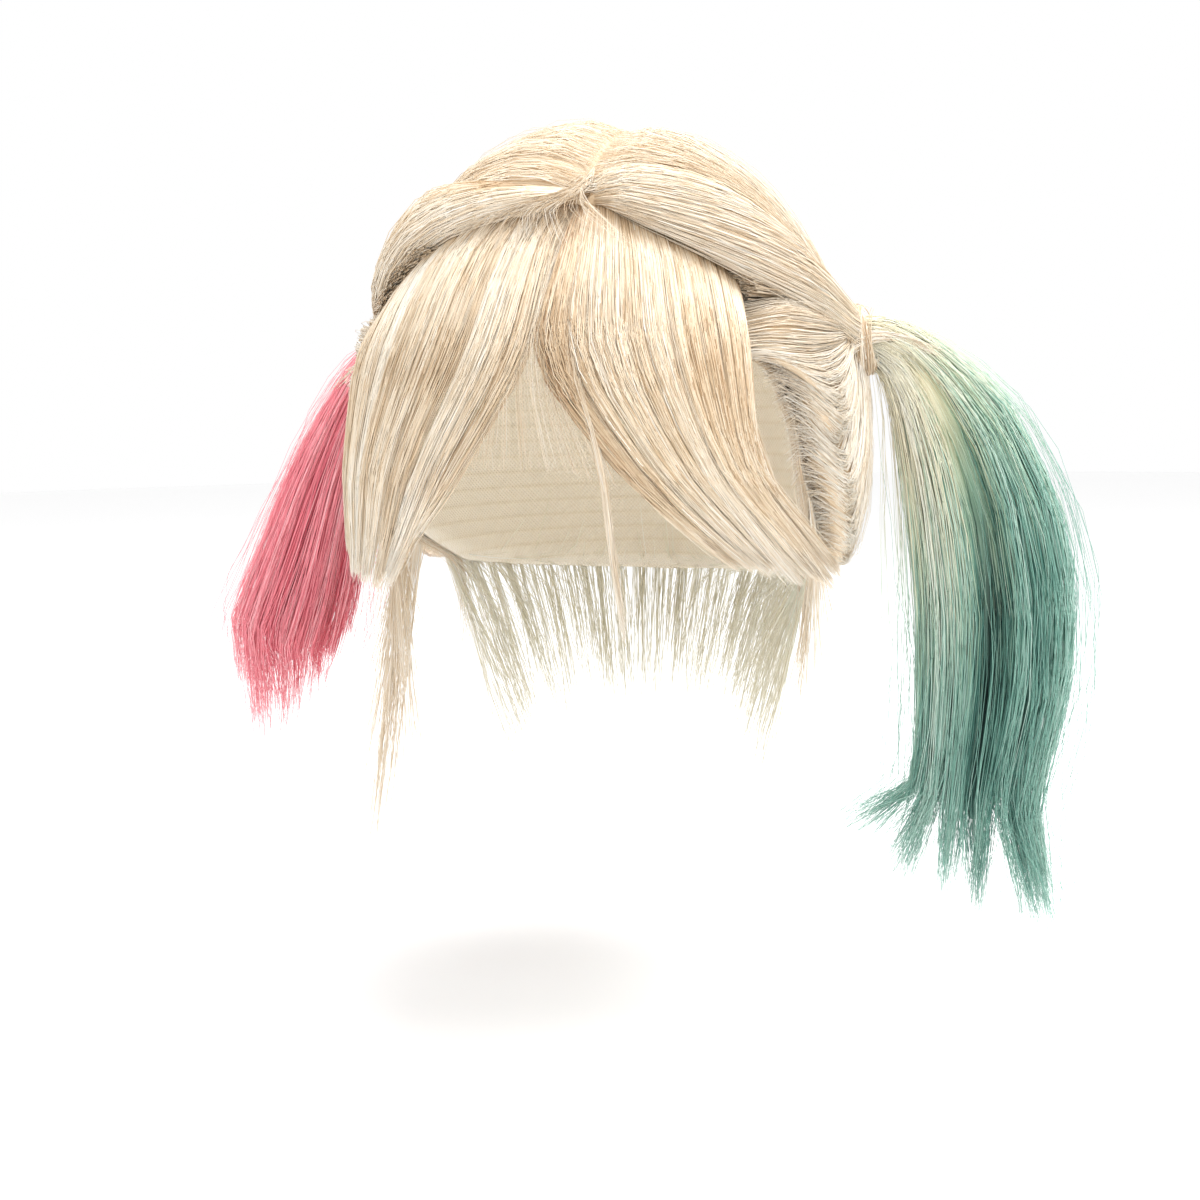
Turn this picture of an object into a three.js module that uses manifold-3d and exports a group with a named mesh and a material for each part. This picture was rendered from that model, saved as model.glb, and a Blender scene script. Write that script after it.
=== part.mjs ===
// A blonde costume wig with a curtain fringe and two dyed pigtails, one teal and one pink.
// Millimetres, +Z up. The wearer faces -Y, and +X is the wearer's left.
// The origin is the top of the wearer's head, where it touches the inside of the cap.
import * as THREE from "three";
import { mergeVertices } from "three/addons/utils/BufferGeometryUtils.js";
import Module from "manifold-3d";

const wasm = await Module();
wasm.setup();

// The head that the cap fits: half its width, half its depth, and the crown's height over its widest level
const headHalfWidth = 76;
const headHalfDepth = 92;
const crownHeight = 97;

// The cap and the hair sewn to it
const capThickness = 1.5;
const capMargin = 5; // degrees of bare cap past the edge of the hair
const clearance = 0.4; // between neighbouring pieces
const facetRoom = 0.7; // lets flat facets clear the round cap under them
const partingShift = 12; // the parting lies this far to the wearer's left
const partingFront = 43; // degrees forwards of straight up, where the parting meets the fringe
const partingNape = 119; // degrees backwards of straight up, where it ends
const hairDepth = 14; // where the combed hair is deepest
const rootDepth = 4; // at a parting or hairline
const swellShare = 0.24; // the share of its way to the pigtail over which hair reaches its depth
const ridgeDepth = 1.1; // how far combed ridges stand out
const creaseShare = 0.3; // how much shallower a section is at its two sides

// Where each pigtail leaves the head
const pigtailAzimuth = 97;
const pigtailPolar = 72;
const tieHeight = 13; // of the tie's inner end over the head
const neckRadius = 8.5;
const tieWidth = 7;
const tieDepth = 3.2;

// The swept roll on each side of the parting's front end
const rollWidth = 30;
const rollDepth = 13;
const rollHeight = 12.5; // of its middle over the head, at the pigtail

// The fringe
const fringeLockWidth = 17;
const fringeLockDepth = 4.2;
const fringeBandWidth = 13;
const fringeStandOff = 14; // of its outermost lock, beside the cheek
const browDrop = 0.74; // where the locks pass the brow, as a share of the crown height
const eyeDrop = 1.04; // where they pass the eyes

// The loose nape hair and the wisps at the ears
const napeLockWidth = 21;
const wispWidth = 6;
const strandDepth = 3;
const loosePull = 20; // how far a lock's tip is pulled in or out

const colours = {
  cap: 0xd9bd97,
  blonde: 0xecd2a4,
  paleBlonde: 0xe3d3ab,
  teal: 0x4f9188,
  pink: 0xe0637a,
};

// The hairline from the front of the ear round to the nape, on the wearer's left
const hairline = [
  { azimuth: 180, polar: partingNape },
  { azimuth: 150, polar: 118 },
  { azimuth: 125, polar: 116 },
  { azimuth: 103, polar: 113 },
  { azimuth: 84, polar: 104 },
  { azimuth: 71, polar: 91 },
  { azimuth: 67, polar: 80 },
  { azimuth: 63, polar: 74 },
];

// The line that the fringe grows from, after the parting's front end
const fringeLine = [
  { azimuth: 24, polar: 47 },
  { azimuth: 40, polar: 53 },
  { azimuth: 52, polar: 58 },
  { azimuth: 58, polar: 64 },
];

// The cap's edge over the forehead and temple, in front of the hairline's last row
const capFront = [
  { azimuth: 0, polar: 50 },
  { azimuth: 24, polar: 53 },
  { azimuth: 40, polar: 58 },
  { azimuth: 52, polar: 64 },
  { azimuth: 58, polar: 72 },
];

// Combed sections on each side: first and last place on the outline, depth as a share, and ridges
const sections = [
  { name: "crown", from: 0.0, to: 0.36, depth: 0.79, ridges: 5 },
  { name: "back", from: 0.36, to: 0.66, depth: 0.86, ridges: 5 },
  { name: "ear", from: 0.66, to: 0.9, depth: 1, ridges: 4 },
  { name: "temple", from: 0.9, to: 1.0, depth: 0.86, ridges: 3 },
];
const sectionRows = 8;

// Each roll's middle line, as shares of the way round and down from the parting's front end to the
// pigtail, with its height, width and depth as shares. The parting is nearer the wearer's left, so
// the right roll is the longer one
const rollRows = {
  left: [
    { round: 0.03, down: -0.1, height: 0.4, width: 0.3, depth: 0.45 },
    { round: 0.13, down: -0.07, height: 0.64, width: 0.62, depth: 0.75 },
    { round: 0.26, down: 0.05, height: 0.76, width: 0.86, depth: 0.95 },
    { round: 0.42, down: 0.22, height: 0.84, width: 1.0, depth: 1.0 },
    { round: 0.57, down: 0.41, height: 0.88, width: 1.0, depth: 1.0 },
    { round: 0.74, down: 0.62, height: 0.92, width: 0.85, depth: 0.92 },
    { round: 0.89, down: 0.83, height: 1.0, width: 0.6, depth: 0.75 },
  ],
  right: [
    { round: 0.06, down: -0.07, height: 0.4, width: 0.3, depth: 0.45 },
    { round: 0.19, down: -0.07, height: 0.68, width: 0.66, depth: 0.75 },
    { round: 0.34, down: -0.03, height: 0.8, width: 0.9, depth: 0.95 },
    { round: 0.5, down: 0.07, height: 0.88, width: 1.0, depth: 1.0 },
    { round: 0.65, down: 0.28, height: 0.88, width: 1.0, depth: 1.0 },
    { round: 0.79, down: 0.55, height: 0.92, width: 0.85, depth: 0.92 },
    { round: 0.92, down: 0.81, height: 1.0, width: 0.6, depth: 0.75 },
  ],
};

// The fringe's locks. Each has its root a share of the way along the fringe line, passes the brow and
// the eyes at two azimuths, and ends at a third. tipDrop is a share of the crown height, lift of the
// fringe's stand-off, and width of a lock's
const fringeRows = {
  left: [
    { root: 0.08, brow: 16, eyes: 20, tip: 23, tipDrop: 1.48, lift: 0.57, width: 0.4 },
    { root: 0.13, brow: 19, eyes: 27, tip: 43, tipDrop: 1.3, lift: 0.57, width: 1 },
    { root: 0.28, brow: 25, eyes: 33, tip: 51, tipDrop: 1.37, lift: 0.64, width: 1 },
    { root: 0.44, brow: 32, eyes: 39, tip: 59, tipDrop: 1.42, lift: 0.71, width: 1 },
    { root: 0.6, brow: 38, eyes: 44, tip: 67, tipDrop: 1.45, lift: 0.86, width: 1 },
    { root: 0.76, brow: 44, eyes: 47, tip: 74, tipDrop: 1.45, lift: 0.93, width: 1 },
    { root: 0.92, brow: 49, eyes: 50, tip: 80, tipDrop: 1.43, lift: 1, width: 1 },
  ],
  right: [
    { root: 0.08, brow: 3, eyes: 13, tip: 29, tipDrop: 1.33, lift: 0.57, width: 1 },
    { root: 0.22, brow: 12, eyes: 22, tip: 36, tipDrop: 1.41, lift: 0.64, width: 1 },
    { root: 0.38, brow: 22, eyes: 31, tip: 42, tipDrop: 1.43, lift: 0.71, width: 1 },
    { root: 0.55, brow: 32, eyes: 40, tip: 48, tipDrop: 1.42, lift: 0.86, width: 1 },
    { root: 0.72, brow: 42, eyes: 48, tip: 54, tipDrop: 1.39, lift: 0.93, width: 1 },
    { root: 0.88, brow: 52, eyes: 56, tip: 60, tipDrop: 1.36, lift: 1, width: 1 },
  ],
};

// Each pigtail: how far it stands out and hangs down past its tie, how far it leans to the back,
// its width, its thickness as a share of that, the length and spread of its tips, and its course,
// as shares of those sizes
const pigtails = {
  left: {
    reach: 42,
    drop: 158,
    lean: 4,
    width: 57,
    flatness: 0.62,
    tips: 44,
    spread: 1,
    colour: colours.teal,
    course: [
      { out: 0.12, drop: 0.02, lean: 0, width: 0.32 },
      { out: 0.38, drop: 0.09, lean: 0.1, width: 0.5 },
      { out: 0.64, drop: 0.21, lean: 0.2, width: 0.76 },
      { out: 0.86, drop: 0.39, lean: 0.5, width: 0.95 },
      { out: 0.98, drop: 0.6, lean: 0.8, width: 1.0 },
      { out: 0.95, drop: 0.82, lean: 1.0, width: 1.0 },
      { out: 0.86, drop: 1.0, lean: 1.0, width: 0.96 },
    ],
  },
  right: {
    reach: 44,
    drop: 110,
    lean: -14,
    width: 51,
    flatness: 0.62,
    tips: 36,
    spread: 0.25,
    colour: colours.pink,
    course: [
      { out: 0.12, drop: 0.04, lean: 0, width: 0.32 },
      { out: 0.31, drop: 0.18, lean: 0.2, width: 0.46 },
      { out: 0.55, drop: 0.45, lean: 0.5, width: 0.7 },
      { out: 0.78, drop: 0.78, lean: 0.8, width: 0.92 },
      { out: 0.97, drop: 1.0, lean: 1.0, width: 1.0 },
    ],
  },
};

// The locks in a pigtail: place across and through it, thickness, how far the tip hangs past
// the course, and how far it kicks sideways, as shares of the pigtail's width, tips and width
const pigtailLocks = [
  { across: 0, through: 0, size: 0.62, tip: 0.62, kick: 0 },
  { across: -0.27, through: 0.1, size: 0.46, tip: 0.85, kick: -0.22 },
  { across: -0.3, through: -0.22, size: 0.36, tip: 0.6, kick: -0.42 },
  { across: 0.27, through: 0.12, size: 0.46, tip: 1.0, kick: 0.16 },
  { across: 0.3, through: -0.2, size: 0.36, tip: 0.8, kick: 0.06 },
  { across: 0.02, through: 0.3, size: 0.42, tip: 0.95, kick: -0.04 },
  { across: -0.02, through: -0.32, size: 0.42, tip: 0.8, kick: 0.08 },
];

// Loose hair below the nape hairline: where it grows, where its tip hangs, as an azimuth and a share
// of the crown height, how far its tip is pulled out, as a share, and its width as a share
const napeRows = [
  { azimuth: 101, tip: 112, tipDrop: 2.5, pull: -1, width: 0.7 },
  { azimuth: 114, tip: 120, tipDrop: 2.18, pull: -0.75, width: 1 },
  { azimuth: 129, tip: 134, tipDrop: 2.32, pull: -0.7, width: 1 },
  { azimuth: 145, tip: 148, tipDrop: 2.12, pull: -0.7, width: 1 },
  { azimuth: 162, tip: 164, tipDrop: 2.26, pull: -0.7, width: 1 },
];

// Thin wisps in front of the ears, in the same way
const earWisps = {
  left: [
    { azimuth: 78, tip: 88, tipDrop: 1.85, pull: 0, width: 1 },
    { azimuth: 84, tip: 98, tipDrop: 2.2, pull: -0.4, width: 1 },
  ],
  right: [
    { azimuth: 74, tip: 75, tipDrop: 2.38, pull: -0.45, width: 1 },
    { azimuth: 79, tip: 78, tipDrop: 2.42, pull: 0.3, width: 1 },
    { azimuth: 84, tip: 80, tipDrop: 2.78, pull: 0.9, width: 1.2 },
  ],
};

const radians = THREE.MathUtils.degToRad;
const degrees = THREE.MathUtils.radToDeg;
const lerp = THREE.MathUtils.lerp;

// A direction from the middle of the head: azimuth from the face round to the wearer's left, and
// polar from straight up
function direction(azimuth, polar) {
  const across = Math.sin(radians(polar));
  return new THREE.Vector3(
    across * Math.sin(radians(azimuth)),
    -across * Math.cos(radians(azimuth)),
    Math.cos(radians(polar)),
  );
}

// The point in that direction, this high over the head
function overHead(towards, lift) {
  return new THREE.Vector3(
    towards.x * (headHalfWidth + lift),
    towards.y * (headHalfDepth + lift),
    towards.z * (crownHeight + lift) - crownHeight,
  );
}

// A point of hair that lies on the head and hangs straight down past its widest level
function hanging(azimuth, drop, lift) {
  const polar = degrees(Math.acos(Math.max(0, 1 - drop)));
  const point = overHead(direction(azimuth, polar), lift);
  point.z -= crownHeight * Math.max(0, drop - 1);
  return point;
}

// The head's outward normal at a point
function outward(point) {
  return new THREE.Vector3(
    point.x / headHalfWidth ** 2,
    point.y / headHalfDepth ** 2,
    Math.max(0, point.z + crownHeight) / crownHeight ** 2,
  ).normalize();
}

// The great-circle step from one direction to another
function between(a, b, share) {
  const angle = a.angleTo(b);
  return a
    .clone()
    .multiplyScalar(Math.sin((1 - share) * angle))
    .addScaledVector(b, Math.sin(share * angle))
    .divideScalar(Math.sin(angle));
}

// The value of a column at a place in a table whose rows rise in key
function lookUp(rows, key, at, column) {
  const next = rows.findIndex((row) => row[key] >= at);
  if (next < 0) return rows.at(-1)[column];
  if (next === 0) return rows[0][column];
  const [low, high] = [rows[next - 1], rows[next]];
  return lerp(low[column], high[column], (at - low[key]) / (high[key] - low[key]));
}

// A geometry without the triangles that merging left with two corners in one place
function withoutSlivers(geometry) {
  const kept = [];
  const index = geometry.index.array;
  for (let i = 0; i < index.length; i += 3) {
    const [a, b, c] = index.slice(i, i + 3);
    if (a !== b && b !== c && a !== c) kept.push(a, b, c);
  }
  return geometry.setIndex(kept);
}

// A manifold-3d solid of a geometry. A mirrored shape comes out inside out, and is turned back
function solidOf(geometry) {
  const bare = geometry.clone();
  for (const name of ["normal", "uv"]) bare.deleteAttribute(name);
  const merged = withoutSlivers(mergeVertices(bare, 1e-5));
  const make = (triVerts) =>
    new wasm.Manifold(
      new wasm.Mesh({ numProp: 3, vertProperties: merged.attributes.position.array, triVerts }),
    );
  const faces = new Uint32Array(merged.index.array);
  const solid = make(faces);
  return solid.volume() > 0 ? solid : make(faces.reverse());
}

// The three.js geometry of the largest body in a solid
function geometryOf(solid) {
  const largest = solid.decompose().sort((a, b) => b.volume() - a.volume())[0];
  const mesh = largest.getMesh();
  return new THREE.BufferGeometry()
    .setAttribute("position", new THREE.BufferAttribute(mesh.vertProperties, 3))
    .setIndex(new THREE.BufferAttribute(mesh.triVerts, 1));
}

// The solid inside a list of triangles, each given as three points
function solidInside(triangles) {
  return solidOf(new THREE.BufferGeometry().setFromPoints(triangles.flat()));
}

function quad(a, b, c, d) {
  return [
    [a, b, c],
    [a, c, d],
  ];
}

// The solid between an outer and an inner net of points
function shellSolid(outer, inner) {
  const triangles = [];
  const rows = outer.length - 1;
  const columns = outer[0].length - 1;
  for (let j = 0; j < rows; j++) {
    for (let i = 0; i < columns; i++) {
      triangles.push(...quad(outer[j][i], outer[j][i + 1], outer[j + 1][i + 1], outer[j + 1][i]));
      triangles.push(...quad(inner[j][i], inner[j + 1][i], inner[j + 1][i + 1], inner[j][i + 1]));
    }
    triangles.push(...quad(outer[j][0], outer[j + 1][0], inner[j + 1][0], inner[j][0]));
    triangles.push(
      ...quad(outer[j + 1][columns], outer[j][columns], inner[j][columns], inner[j + 1][columns]),
    );
  }
  for (let i = 0; i < columns; i++) {
    triangles.push(...quad(outer[0][i + 1], outer[0][i], inner[0][i], inner[0][i + 1]));
    triangles.push(...quad(outer[rows][i], outer[rows][i + 1], inner[rows][i + 1], inner[rows][i]));
  }
  return solidInside(triangles);
}

// A lock of hair: an oval section carried along a curve. Each station has a point, a width and a
// depth. The depth faces away from the head, or along face, and grow makes the room that it needs
function lockSolid(stations, { sides, steps, groove = 0, grow = 0, face = outward }) {
  const curve = new THREE.CatmullRomCurve3(stations.map((station) => station.point));
  const rings = [];
  for (let j = 0; j <= steps; j++) {
    const share = j / steps;
    const place = share * (stations.length - 1);
    const row = Math.min(stations.length - 2, Math.floor(place));
    const width = lerp(stations[row].width, stations[row + 1].width, place - row) + 2 * grow;
    const depth = lerp(stations[row].depth, stations[row + 1].depth, place - row) + 2 * grow;
    const middle = curve.getPoint(share);
    const along = curve.getTangent(share);
    if (j === 0) middle.addScaledVector(along, -grow);
    if (j === steps) middle.addScaledVector(along, grow);
    const across = new THREE.Vector3().crossVectors(along, face(middle)).normalize();
    const out = new THREE.Vector3().crossVectors(across, along).normalize();
    const ring = [];
    for (let i = 0; i < sides; i++) {
      const angle = (2 * Math.PI * i) / sides;
      const pinch = i % 2 ? 1 - groove : 1;
      ring.push(
        middle
          .clone()
          .addScaledVector(across, (pinch * width * Math.cos(angle)) / 2)
          .addScaledVector(out, (pinch * depth * Math.sin(angle)) / 2),
      );
    }
    rings.push({ middle, ring });
  }
  const triangles = [];
  for (let i = 0; i < sides; i++) {
    const next = (i + 1) % sides;
    for (let j = 0; j < steps; j++) {
      const [near, far] = [rings[j].ring, rings[j + 1].ring];
      triangles.push(...quad(near[i], near[next], far[next], far[i]));
    }
    triangles.push([rings[0].middle, rings[0].ring[next], rings[0].ring[i]]);
    triangles.push([rings[steps].middle, rings[steps].ring[i], rings[steps].ring[next]]);
  }
  return solidInside(triangles);
}

// The parting, as a direction at an angle backwards of straight up. It fades to the middle behind
function parting(angle) {
  const fade = THREE.MathUtils.smoothstep(angle, 20, 90);
  const shift = (partingShift * (1 - fade)) / headHalfWidth;
  const rest = Math.sqrt(1 - shift ** 2);
  return new THREE.Vector3(
    shift,
    rest * Math.sin(radians(angle)),
    rest * Math.cos(radians(angle)),
  );
}

// The outline of one side's hair, as if it were the left: back along the parting, and then along the
// hairline to the temple's corner
function outline(side) {
  const points = [];
  const partingSteps = 24;
  for (let i = 0; i < partingSteps; i++) {
    const point = parting(lerp(-partingFront, partingNape, i / partingSteps));
    point.x *= side;
    points.push(point);
  }
  const corner = fringeLine.at(-1);
  for (const row of hairline) points.push(direction(row.azimuth, row.polar));
  points.push(direction(corner.azimuth - 6, hairline.at(-1).polar - 1));
  points.push(direction(corner.azimuth, corner.polar));
  return points;
}

// The point a share of the way along an outline, by angle
function alongOutline(points, share) {
  const lengths = [0];
  for (let i = 1; i < points.length; i++) {
    lengths.push(lengths.at(-1) + points[i].angleTo(points[i - 1]));
  }
  const target = share * lengths.at(-1);
  const next = Math.max(
    1,
    lengths.findIndex((length) => length >= target - 1e-9),
  );
  const step = (target - lengths[next - 1]) / (lengths[next] - lengths[next - 1]);
  return between(points[next - 1], points[next], step).normalize();
}

const pigtailDirection = direction(pigtailAzimuth, pigtailPolar);

// One combed section, on the wearer's left: hair from its stretch of the outline to the pigtail
function sectionSolid(section, points) {
  const reach = 0.96; // the share of the way that it goes before the neck's hole ends it
  const columns = 2 * section.ridges;
  const underLift = capThickness + clearance + facetRoom;
  const [outer, inner] = [[], []];
  for (let j = 0; j <= sectionRows; j++) {
    const share = j / sectionRows;
    const swell = Math.sin((Math.PI / 2) * Math.min(1, share / swellShare));
    const [high, low] = [[], []];
    for (let i = 0; i <= columns; i++) {
      const across = i / columns;
      const root = alongOutline(points, lerp(section.from, section.to, across));
      const towards = between(root, pigtailDirection, reach * share ** 1.15);
      const crease = 1 - creaseShare * Math.abs(2 * across - 1) ** 5;
      const ridge = i % 2 ? ridgeDepth * swell : 0;
      const depth = lerp(rootDepth, hairDepth * section.depth * crease, swell) + ridge;
      high.push(overHead(towards, capThickness + depth));
      low.push(overHead(towards, underLift));
    }
    outer.push(high);
    inner.push(low);
  }
  for (const net of [outer, inner]) pullIn(net, 0.75 * clearance);
  return shellSolid(outer, inner);
}

// Draws a net of points in from its root row and its two side columns by a distance
function pullIn(net, distance) {
  const last = net[0].length - 1;
  const moves = [];
  net.forEach((row, j) => {
    const [before, after] = [net[Math.max(0, j - 1)], net[Math.min(net.length - 1, j + 1)]];
    for (const [end, next] of [
      [0, 1],
      [last, last - 1],
    ]) {
      const along = after[end].clone().sub(before[end]).normalize();
      const inwards = row[next].clone().sub(row[end]);
      inwards.addScaledVector(along, -inwards.dot(along));
      moves.push([row[end], inwards.setLength(distance)]);
    }
  });
  net[0].forEach((point, i) => {
    moves.push([point, net[1][i].clone().sub(point).setLength(distance)]);
  });
  for (const [point, move] of moves) point.add(move);
}

// The cap: a thin dome with an edge that follows the hairline
function capSolid() {
  const back = [...hairline].reverse().map((row) => ({ ...row, polar: row.polar + capMargin }));
  const edge = [...capFront, ...back];
  const rows = 6;
  const columns = 28;
  const [outer, inner] = [[], []];
  for (let j = 0; j <= rows; j++) {
    const [high, low] = [[], []];
    for (let i = 0; i <= columns; i++) {
      const turn = (360 * (i % columns)) / columns;
      const azimuth = Math.min(turn, 360 - turn);
      const polar = (lookUp(edge, "azimuth", azimuth, "polar") * j) / rows;
      const towards = direction(turn, polar);
      high.push(overHead(towards, capThickness));
      low.push(overHead(towards, 0));
    }
    outer.push(high);
    inner.push(low);
  }
  return domeSolid(outer, inner);
}

// The solid between two domes of points, whose first rows are single points
function domeSolid(outer, inner) {
  const triangles = [];
  const rows = outer.length - 1;
  for (let i = 0; i + 1 < outer[0].length; i++) {
    for (let j = 0; j < rows; j++) {
      triangles.push(...quad(outer[j][i], outer[j + 1][i], outer[j + 1][i + 1], outer[j][i + 1]));
      triangles.push(...quad(inner[j][i], inner[j][i + 1], inner[j + 1][i + 1], inner[j + 1][i]));
    }
    triangles.push(...quad(outer[rows][i], inner[rows][i], inner[rows][i + 1], outer[rows][i + 1]));
  }
  return solidInside(triangles);
}

// The room that the cap needs, which nothing sewn to it may enter
function capRoom() {
  const lift = capThickness + clearance;
  const dome = new THREE.SphereGeometry(1, 48, 32);
  dome.scale(headHalfWidth + lift, headHalfDepth + lift, crownHeight + lift);
  dome.translate(0, 0, -crownHeight);
  return solidOf(dome);
}

// The roll that sweeps from the parting's front end over the fringe to the pigtail
function rollSolid(name, grow = 0) {
  const start = fringeRoots(name)[0];
  const startAzimuth = degrees(Math.atan2(start.x, -start.y));
  const stations = rollRows[name].map((row) => {
    const azimuth = lerp(startAzimuth, pigtailAzimuth, row.round);
    const polar = lerp(partingFront, pigtailPolar, row.down);
    return {
      point: overHead(direction(azimuth, polar), row.height * rollHeight),
      width: row.width * rollWidth,
      depth: row.depth * rollDepth,
    };
  });
  return lockSolid(stations, { sides: 10, steps: 12, groove: 0.08, grow });
}

// The line of the fringe's roots on one side, as if it were the left
function fringeRoots(name) {
  const start = parting(-partingFront);
  if (name === "right") start.x *= -1;
  return [start, ...fringeLine.map((row) => direction(row.azimuth, row.polar))];
}

// The middle of a thin layer of hair that lies on the cap
const bandLift = capThickness + clearance + facetRoom + strandDepth / 2;

// One lock of the fringe, from its root under the roll to its tip beside the cheek
function fringeLock(row, roots, grow) {
  const root = overHead(alongOutline(roots, row.root), bandLift + 1);
  const rootAzimuth = degrees(Math.atan2(root.x, -root.y));
  const rootDrop = -root.z / crownHeight;
  const out = row.lift * fringeStandOff;
  const stations = [
    { azimuth: rootAzimuth, drop: rootDrop, lift: bandLift + 1, width: 0.62, depth: 0.7 },
    {
      azimuth: lerp(rootAzimuth, row.brow, 0.6),
      drop: lerp(rootDrop, browDrop, 0.4),
      lift: lerp(bandLift, out, 0.45),
      width: 0.85,
      depth: 1,
    },
    { azimuth: row.brow, drop: browDrop, lift: lerp(bandLift, out, 0.85), width: 0.95, depth: 1.1 },
    { azimuth: row.eyes, drop: eyeDrop, lift: out, width: 0.95, depth: 1 },
    {
      azimuth: lerp(row.eyes, row.tip, 0.55),
      drop: lerp(eyeDrop, row.tipDrop, 0.62),
      lift: out,
      width: 0.8,
      depth: 0.85,
    },
    { azimuth: row.tip, drop: row.tipDrop, lift: out, width: 0.4, depth: 0.35 },
  ].map(({ azimuth, drop, lift, width, depth }) => ({
    point: hanging(azimuth, drop, lift),
    width: width * row.width * fringeLockWidth,
    depth: depth * fringeLockDepth,
  }));
  return lockSolid(stations, { sides: 6, steps: 6, grow });
}

// One side's fringe: a band of roots with the locks fused to it
function fringeSolid(name, grow = 0) {
  const roots = fringeRoots(name);
  const stations = [0.06, 0.28, 0.5, 0.72, 0.94].map((share, i) => ({
    point: overHead(alongOutline(roots, share), bandLift),
    width: fringeBandWidth * (i ? 1 : 0.6),
    depth: strandDepth,
  }));
  const band = lockSolid(stations, { sides: 6, steps: 8, grow });
  return wasm.Manifold.union([
    band,
    ...fringeRows[name].map((row) => fringeLock(row, roots, grow)),
  ]);
}

// The pigtail's axis where it leaves the head, and how to turn an upright shape along it
const seatPoint = overHead(pigtailDirection, 0);
const seatOut = outward(seatPoint);
const seatTurn = new THREE.Quaternion().setFromUnitVectors(new THREE.Vector3(0, 1, 0), seatOut);

// The point on that axis at a height over the head
function onAxis(height) {
  return seatPoint.clone().addScaledVector(seatOut, height);
}

// A cylinder on the pigtail's axis, between two heights over the head
function seatCylinder(radius, low, high) {
  const cylinder = new THREE.CylinderGeometry(radius, radius, high - low, 16);
  cylinder.applyQuaternion(seatTurn);
  cylinder.translate(...onAxis((low + high) / 2));
  return solidOf(cylinder);
}

// The elastic tie round the pigtail's neck, wound with hair
function tieSolid(grow = 0) {
  const profile = [];
  const inner = neckRadius + clearance - grow;
  const corners = 6;
  for (let i = 0; i <= corners; i++) {
    const angle = (2 * Math.PI * (i % corners)) / corners;
    const radius = inner + ((tieDepth + 2 * grow) * (1 + Math.cos(angle))) / 2;
    profile.push(new THREE.Vector2(radius, ((tieWidth + 2 * grow) * Math.sin(angle)) / 2));
  }
  const ring = new THREE.LatheGeometry(profile, 16);
  ring.applyQuaternion(seatTurn);
  ring.translate(...onAxis(tieHeight + tieWidth / 2));
  return solidOf(ring);
}

const back = new THREE.Vector3(0, 1, 0);

// One lock of a pigtail, which follows the pigtail's course beside its middle line and ends in a tip
function pigtailLock(pigtail, lock) {
  const start = onAxis(tieHeight + tieWidth + 2);
  const neckShare = 1.2 * neckRadius;
  const stations = [
    { point: onAxis(tieHeight + tieWidth / 2), width: neckShare, depth: neckShare },
  ];
  const rows = [...pigtail.course, pigtail.course.at(-1)];
  rows.forEach((row, i) => {
    const isTip = i === rows.length - 1;
    const ahead = rows[Math.min(rows.length - 1, i + 1)];
    const behind = rows[Math.max(0, i - 1)];
    const along = new THREE.Vector3(
      (ahead.out - behind.out) * pigtail.reach,
      0,
      (behind.drop - ahead.drop) * pigtail.drop - (isTip ? 1 : 0),
    ).normalize();
    const across = new THREE.Vector3(-along.z, 0, along.x);
    const width = row.width * pigtail.width;
    const aside = lock.across + (isTip ? lock.kick * pigtail.spread : 0);
    const point = start.clone();
    point.x += row.out * pigtail.reach;
    point.y += row.lean * pigtail.lean;
    point.z -= row.drop * pigtail.drop + (isTip ? lock.tip * pigtail.tips : 0);
    point.addScaledVector(across, aside * width);
    point.addScaledVector(back, lock.through * width * pigtail.flatness);
    const size = lock.size * width * (isTip ? 0.16 : 1);
    stations.push({ point, width: size, depth: size * lerp(1, pigtail.flatness, 0.8) });
  });
  return lockSolid(stations, { sides: 6, steps: 8, face: () => back });
}

// A pigtail: its neck through the tie, with the locks fused to it
function pigtailSolid(pigtail) {
  const neck = seatCylinder(neckRadius, capThickness + clearance, tieHeight + tieWidth + 1);
  const locks = pigtailLocks.map((lock) => pigtailLock(pigtail, lock));
  return wasm.Manifold.union([neck, ...locks]).subtract(tieSolid(0.8 * clearance));
}

// Loose hair that hangs from the edge of the cap, with its roots fused to a band
function looseHair(rows, lockWidth, bandMargin) {
  const edge = [...hairline].reverse();
  const rootPoint = (azimuth, along = azimuth) => {
    const polar = lookUp(edge, "azimuth", azimuth, "polar") + 0.6 * capMargin;
    return overHead(direction(along, polar), capThickness + clearance + 0.4 * strandDepth);
  };
  const [first, last] = [rows[0].azimuth - bandMargin, rows.at(-1).azimuth + bandMargin];
  const bandStations = [0, 0.25, 0.5, 0.75, 1].map((share) => ({
    point: rootPoint(lerp(first, last, share)),
    width: strandDepth,
    depth: strandDepth,
  }));
  const band = lockSolid(bandStations, { sides: 5, steps: 6 });
  const locks = rows.map((row) => {
    const rootDrop = -rootPoint(row.azimuth).z / crownHeight;
    const stations = [0, 0.15, 0.5, 0.8, 1].map((share) => {
      const point = rootPoint(row.azimuth, lerp(row.azimuth, row.tip, share));
      point.addScaledVector(direction(row.azimuth, 90), row.pull * loosePull * share);
      point.z = -crownHeight * lerp(rootDrop, row.tipDrop, share);
      return {
        point,
        width: lockWidth * row.width * lerp(1, 0.25, share ** 2),
        depth: strandDepth * lerp(1, 0.5, share ** 2),
      };
    });
    return lockSolid(stations, { sides: 5, steps: 5 });
  });
  return wasm.Manifold.union([band, ...locks]);
}

// Every piece is made as if it were on the wearer's left, and mirrored for the right
function mirrored(solid, side) {
  return side > 0 ? solid : solid.mirror([1, 0, 0]);
}

const wig = new THREE.Group();

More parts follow.
